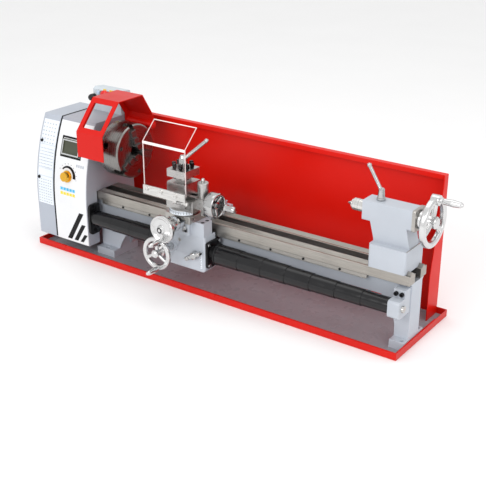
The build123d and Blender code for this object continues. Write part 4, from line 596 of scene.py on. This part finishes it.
def slab_between(tree, pairs, lift=0.0001, thick=0.0004):
    """Closed thin slab that follows a skin between two lines of (x, z) points."""
    verts, faces = [], []
    for a, b in pairs:
        for x, z in (a, b):
            y = front_of(tree, x, z)
            verts.append((x, y - lift, z))
            verts.append((x, y - lift - thick, z))
    count = len(pairs)
    for i in range(count - 1):
        p, q = 4 * i, 4 * i + 4
        faces += [(p + 1, p + 3, q + 3, q + 1), (p, q, q + 2, p + 2)]
        faces += [(p, p + 1, q + 1, q), (p + 2, q + 2, q + 3, p + 3)]
    last = 4 * (count - 1)
    faces += [(0, 2, 3, 1), (last, last + 1, last + 3, last + 2)]
    return verts, faces


def bar_on(tree, x0, x1, z0, z1, lean=0.0, steps=8, **extra):
    """Upright bar from z0 to z1; lean shifts its top along X."""
    pairs = []
    for i in range(steps + 1):
        t = i / steps
        z = z0 + (z1 - z0) * t
        pairs.append(((x0 + lean * t, z), (x1 + lean * t, z)))
    return slab_between(tree, pairs, **extra)


def arc_on(tree, x, z, radius, start, end, width_start, width_end, steps=24):
    pairs = []
    for i in range(steps + 1):
        t = i / steps
        a = math.radians(start + (end - start) * t)
        w = (width_start + (width_end - width_start) * t) / 2
        pairs.append(
            (
                (x + (radius - w) * math.cos(a), z + (radius - w) * math.sin(a)),
                (x + (radius + w) * math.cos(a), z + (radius + w) * math.sin(a)),
            )
        )
    return slab_between(tree, pairs)


def frame_on(tree, x0, x1, z0, z1, width):
    """Rectangular border as four bars."""
    return joined(
        [
            bar_on(tree, x0, x0 + width, z0, z1),
            bar_on(tree, x1 - width, x1, z0, z1),
            bar_on(tree, x0 + width, x1 - width, z0, z0 + width, steps=2),
            bar_on(tree, x0 + width, x1 - width, z1 - width, z1, steps=2),
        ]
    )


def fascia_graphics():
    tree = skin("fascia_panel")
    knob_lo, knob_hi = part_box("speed_knob")
    x, z = (knob_lo.x + knob_hi.x) / 2, (knob_lo.z + knob_hi.z) / 2
    scale = arc_on(tree, x, z, 0.0218, 140, -8, 0.0030, 0.0090)
    piece("knob_scale", *scale, "machine", "print_black", "panel_paint", smooth=False)
    ticks = []
    for k in range(9):
        a = math.radians(150 - 20 * k)
        p = (x + 0.0290 * math.cos(a), z + 0.0290 * math.sin(a))
        ticks.append(bar_on(tree, p[0] - 0.0005, p[0] + 0.0005, p[1] - 0.0010, p[1] + 0.0010, steps=1))
    piece("knob_ticks", *joined(ticks), "machine", "print_black", "panel_paint", smooth=False)
    key_rows = (("panel_blue_keys", "print_blue"), ("panel_yellow_keys", "yellow"))
    for row, (name, colour) in enumerate(key_rows):
        keys = []
        for column in range(5):
            left, low = x - 0.022 + 0.0098 * column, z - 0.0350 - 0.0110 * row
            keys.append(bar_on(tree, left, left + 0.0074, low, low + 0.0066, steps=2))
        piece(name, *joined(keys), "machine", colour, "panel_paint", smooth=False)
    notes = []
    for column in range(4):
        left = x + 0.026 + 0.0066 * column
        notes.append(bar_on(tree, left, left + 0.0042, z + 0.026, z + 0.032, steps=1))
    piece("panel_grey_marks", *joined(notes), "machine", "print_grey", "panel_paint", smooth=False)
    lo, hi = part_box("fascia_panel")
    stripes = []
    for left, width, tall in ((0.034, 0.014, 0.078), (0.056, 0.012, 0.050), (0.076, 0.010, 0.026)):
        x0 = lo.x + left
        stripes.append(bar_on(tree, x0, x0 + width, lo.z + 0.006, lo.z + tall, lean=0.56 * tall))
    piece("panel_stripes", *joined(stripes), "machine", "print_black", "panel_paint", smooth=False)
    lo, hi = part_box("display_unit")
    border = frame_on(tree, lo.x - 0.0045, hi.x + 0.0045, lo.z - 0.0045, hi.z + 0.0045, 0.0040)
    piece("display_border", *border, "machine", "print_black", "panel_paint", smooth=False)
    tree = skin("display_unit")
    bezel = frame_on(tree, lo.x + 0.0012, hi.x - 0.0012, lo.z + 0.0022, hi.z - 0.0018, 0.0026)
    piece("display_bezel", *bezel, "machine", "silver", "screen", smooth=False)


def cover_edging():
    """Black edging strip round the open end of the gear cover."""
    tree = skin("gear_cover")
    lo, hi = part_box("gear_cover")
    x0, x1 = hi.x - 0.0038, hi.x - 0.0001
    outline = []
    for i in range(41):
        z = lo.z + 0.004 + (hi.z - 0.0045 - lo.z - 0.004) * i / 40
        outline.append((front_of(tree, (x0 + x1) / 2, z), z, -1.0, 0.0))
    outline.append((outline[-1][0] + 0.0030, hi.z, -0.3, 0.95))
    outline.append((hi.y - 0.004, hi.z, 0.3, 0.95))
    outline.append((hi.y, hi.z - 0.004, 0.95, 0.3))
    outline.append((hi.y, lo.z + 0.004, 1.0, 0.0))
    verts, faces = [], []
    for y, z, out_y, out_z in outline:
        for x in (x0, x1):
            for lift in (0.00005, 0.0009):
                verts.append((x, y + lift * out_y, z + lift * out_z))
    for i in range(len(outline) - 1):
        p, q = 4 * i, 4 * i + 4
        faces += [(p, p + 1, q + 1, q), (p + 1, p + 3, q + 3, q + 1)]
        faces += [(p + 3, p + 2, q + 2, q + 3), (p + 2, p, q, q + 2)]
    last = 4 * (len(outline) - 1)
    faces += [(0, 2, 3, 1), (last, last + 1, last + 3, last + 2)]
    piece("cover_edging", verts, faces, "gear_cover", "print_black", "cover_paint", smooth=False)


def gear_chart():
    """Pale plate on the gear cover with rows of plain marks and no words."""
    tree = skin("gear_cover")
    lo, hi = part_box("gear_cover")
    x0, x1 = lo.x + 0.0045, hi.x - 0.0060
    z0, z1 = 0.108, hi.z - 0.012
    heights = [z0 + (z1 - z0) * i / 24 for i in range(25)]
    plate = slab_between(tree, [((x0, z), (x1, z)) for z in heights])
    piece("gear_chart", *plate, "gear_cover", "chart", "cover_paint", smooth=False)
    marks = []
    rng = random.Random(3)

    def row(z, height, cells, fill):
        margin = 0.002
        width = (x1 - x0 - margin - margin) / cells
        for c in range(cells):
            a = x0 + margin + c * width
            end = a + width * fill * rng.uniform(0.7, 1.0)
            marks.append(bar_on(tree, a, end, z, z + height, steps=1, lift=0.0006, thick=0.0002))

    for i in range(6):
        row(z1 - 0.010 - 0.0085 * i, 0.0026, 5, 0.5)
    for i in range(7):
        row(0.197 + 0.0072 * i, 0.0017, 9, 0.8)
    for i in range(9):
        row(0.112 + 0.0068 * i, 0.0020, 6, 0.62)
    for z in (0.176, 0.1945, 0.250):
        marks.append(bar_on(tree, x0 + 0.001, x1 - 0.001, z, z + 0.0007, steps=1, lift=0.0006, thick=0.0002))
    piece("gear_chart_marks", *joined(marks), "gear_cover", "print_grey", "cover_paint", smooth=False)


# ---- dials and graduations ---------------------------------------------------------------------
TICK_FACES = [(0, 1, 3, 2), (4, 6, 7, 5), (0, 2, 6, 4), (1, 5, 7, 3), (2, 3, 7, 6), (0, 4, 5, 1)]


def ring_ticks(axis, centre, radius, start, length, count):
    """Engraved lines round a drum, drawn as fine raised bars along its axis, every fifth one long."""
    width, tall = 0.0004, 0.0003
    order = {"x": (0, 1, 2), "y": (1, 2, 0), "z": (2, 0, 1)}[axis]
    meshes = []
    for k in range(count):
        a = 2 * PI * k / count
        reach = length if k % 5 == 0 else length * 0.55
        verts = []
        for pos in (start, start + reach):
            for r in (radius - 0.0002, radius + tall):
                for side in (-1, 1):
                    angle = a + side * width / 2 / radius
                    p = [0.0, 0.0, 0.0]
                    p[order[0]] = pos
                    p[order[1]] = centre[0] + r * math.cos(angle)
                    p[order[2]] = centre[1] + r * math.sin(angle)
                    verts.append(tuple(p))
        meshes.append((verts, TICK_FACES))
    return joined(meshes)


def dials():
    lo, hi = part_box("cross_wheel")
    x, z = (lo.x + hi.x) / 2, AXIS_CROSS_Z
    ticks = ring_ticks("y", (z, x), 0.017, -0.1290, 0.006, 50)
    piece("cross_dial_lines", *ticks, "cross_wheel", "print_black", "wheel_alloy", smooth=False)
    ticks = ring_ticks("x", (-0.072, 0.217), 0.027, -0.0455, 0.006, 50)
    piece("top_dial_lines", *ticks, "top_wheel", "print_black", "polished", smooth=False)
    ticks = ring_ticks("x", (0.0, AXIS_Z), 0.018, 0.3917, 0.0045, 50)
    piece("tail_dial_lines", *ticks, "tail_wheel", "print_black", "wheel_alloy", smooth=False)
    hub = lathe_mesh(
        "y", (z, x),
        [
            (-0.1582, 0.0036), (-0.1582, 0.0058), (-0.1572, 0.0068), (-0.1560, 0.0068),
            (-0.1560, 0.0036), (-0.1582, 0.0036),
        ],
        48,
    )
    piece("cross_hub_ring", *hub, "cross_wheel", "print_black", "wheel_alloy")


def sector_mesh(centre, r0, r1, z0, z1, start, end):
    """Closed part of a flat ring about a vertical line."""
    steps = 32
    verts, faces = [], []
    for i in range(steps + 1):
        a = math.radians(start + (end - start) * i / steps)
        for r in (r0, r1):
            for z in (z0, z1):
                verts.append((centre[0] + r * math.cos(a), centre[1] + r * math.sin(a), z))
    for i in range(steps):
        p, q = 4 * i, 4 * i + 4
        faces += [(p, p + 2, q + 2, q), (p + 1, q + 1, q + 3, p + 3)]
        faces += [(p + 2, p + 3, q + 3, q + 2), (p, q, q + 1, p + 1)]
    last = 4 * steps
    faces += [(0, 1, 3, 2), (last, last + 2, last + 3, last + 1)]
    return verts, faces


def swivel_scale():
    """White graduated arc round the front of the compound's swivel."""
    centre = (-0.116, -0.072)
    arc = sector_mesh(centre, 0.0312, 0.0335, 0.1882, 0.1968, -150, -22)
    piece("swivel_scale", *arc, "compound", "chart", "machined_steel", 0.0002)
    meshes = []
    for k in range(25):
        a = math.radians(-146 + 5 * k)
        r = 0.0335
        w = 0.0005 if k % 2 else 0.0008
        reach = 0.0035 if k % 2 else 0.0055
        verts = []
        for z in (0.1964 - reach, 0.1964):
            for rr in (r - 0.0001, r + 0.0003):
                for side in (-1, 1):
                    angle = a + side * w / 2 / r
                    verts.append((centre[0] + rr * math.cos(angle), centre[1] + rr * math.sin(angle), z))
        meshes.append((verts, TICK_FACES))
    piece("swivel_lines", *joined(meshes), "compound", "print_black", "machined_steel", smooth=False)


# ---- small fittings ----------------------------------------------------------------------------
def button_trim():
    lo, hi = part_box("estop_button")
    x, z = (lo.x + hi.x) / 2, (lo.z + hi.z) / 2
    box_lo, box_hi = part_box("control_box")
    y = box_lo.y
    plate = box_mesh((x - 0.0140, y - 0.0012, z - 0.0150), (x - 0.0057, y - 0.0001, z + 0.0098))
    right = box_mesh((x + 0.0057, y - 0.0012, z - 0.0150), (x + 0.0230, y - 0.0001, z + 0.0098))
    low = box_mesh((x - 0.0057, y - 0.0012, z - 0.0150), (x + 0.0057, y - 0.0001, z - 0.0057))
    piece("estop_plate", *joined([plate, right, low]), "machine", "yellow", "control_grey", smooth=False)
    for node in ("start_button", "stop_button"):
        lo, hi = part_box(node)
        x, z = (lo.x + hi.x) / 2, (lo.z + hi.z) / 2
        bezel = lathe_mesh(
            "y", (z, x),
            [
                (y - 0.0001, 0.0050), (y - 0.0001, 0.0057), (y - 0.0022, 0.0056), (y - 0.0028, 0.0053),
                (y - 0.0028, 0.0050), (y - 0.0001, 0.0050),
            ],
            40,
        )
        piece(node + "_bezel", *bezel, "machine", "bright", "control_grey")
    x, z = box_lo.x + 0.0030, box_hi.z - 0.0240
    gland = lathe_mesh(
        "y", (z, x),
        [
            (y + 0.0010, 0.0), (y + 0.0010, 0.0075), (y - 0.0040, 0.0082), (y - 0.0110, 0.0082),
            (y - 0.0120, 0.0070), (y - 0.0150, 0.0066), (y - 0.0165, 0.0050), (y - 0.0165, 0.0),
        ],
        48,
    )
    piece("box_gland", *gland, "machine", "black", "control_grey")


def shield_painted_highlights():
    """Painted highlights on the clear guard: pale square rods set just inside its outline and along its fold,
    standing in for light caught in the clear sheet.
    """
    lo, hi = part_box("tool_guard")
    line = [(-0.1135, lo.z + 0.0014), (-0.1135, 0.3385), (-0.0747, 0.3758)]
    meshes = []
    for x, widths in ((lo.x, (0.0012, 0.0012, 0.0014)), (hi.x, (0.0004, 0.0012, 0.0014))):
        verts = []
        for (y, z), half in zip(line, widths):
            for dx in (-0.0003, 0.0003):
                for dy in (-half, half):
                    verts.append((x + dx + (0.0004 if x == lo.x else -0.0004), y + dy, z))
        faces = [(0, 1, 3, 2), (8, 10, 11, 9)]
        for i in (0, 4):
            faces += [(i, i + 4, i + 5, i + 1), (i + 2, i + 3, i + 7, i + 6)]
            faces += [(i, i + 2, i + 6, i + 4), (i + 1, i + 5, i + 7, i + 3)]
        meshes.append((verts, faces))
    meshes.append(box_mesh((lo.x, -0.0757, 0.3752), (hi.x, -0.0735, 0.3764)))
    piece("guard_painted_edge_highlights", *joined(meshes), "tool_guard", "acrylic_edge", "clear_shield", smooth=False)
    # Painted highlight along the guard's fold, where the clear sheet bends.
    fold = box_mesh((lo.x, -0.1152, 0.3335), (hi.x, -0.1136, 0.3392))
    piece("guard_painted_fold_highlight", *fold, "tool_guard", "acrylic_edge", "clear_shield", 0.0003)


def carriage_fittings():
    """Angle bracket and index strip at the front of the carriage, and plugs over its way screws."""
    foot = box_mesh((-0.1080, -0.0935, 0.1480), (-0.0950, -0.0900, 0.1560))
    post = box_mesh((-0.1040, -0.0935, 0.1555), (-0.0985, -0.0900, 0.1700))
    piece("saddle_angle", *joined([foot, post]), "carriage", "bright", "cast_paint", 0.0004)
    bolt = lathe_mesh(
        "y", (0.1520, -0.0975),
        [(-0.0936, 0.0), (-0.0936, 0.0030), (-0.0955, 0.0030), (-0.0960, 0.0024), (-0.0960, 0.0)], 24,
    )
    piece("saddle_angle_bolt", *bolt, "carriage", "oxide", "cast_paint")
    strip = box_mesh((-0.0722, -0.0788, 0.0660), (-0.0672, -0.0779, 0.1060))
    piece("apron_index", *strip, "carriage", "chart", "cast_paint", 0.0002)
    marks = [
        box_mesh((-0.0718, -0.0791, 0.0690 + 0.0040 * k), (-0.0690, -0.0788, 0.0697 + 0.0040 * k))
        for k in range(9)
    ]
    piece("apron_index_lines", *joined(marks), "carriage", "print_black", "cast_paint", smooth=False)
    plugs = []
    for x, y in ((-0.168, -0.050), (-0.168, 0.0), (-0.068, -0.073), (-0.068, -0.058)):
        profile = [(0.1700, 0.0), (0.1700, 0.0039), (0.1707, 0.0039), (0.1709, 0.0034), (0.1709, 0.0)]
        plugs.append(lathe_mesh("z", (x, y), profile, 32))
    piece("saddle_plugs", *joined(plugs), "carriage", "print_black", "cast_paint")


dress_cad_nodes()
studio()
camera()
leadscrew_covers()
tray_floor()
fascia_graphics()
gear_chart()
dials()
swivel_scale()
button_trim()
shield_painted_highlights()
carriage_fittings()
cover_edging()
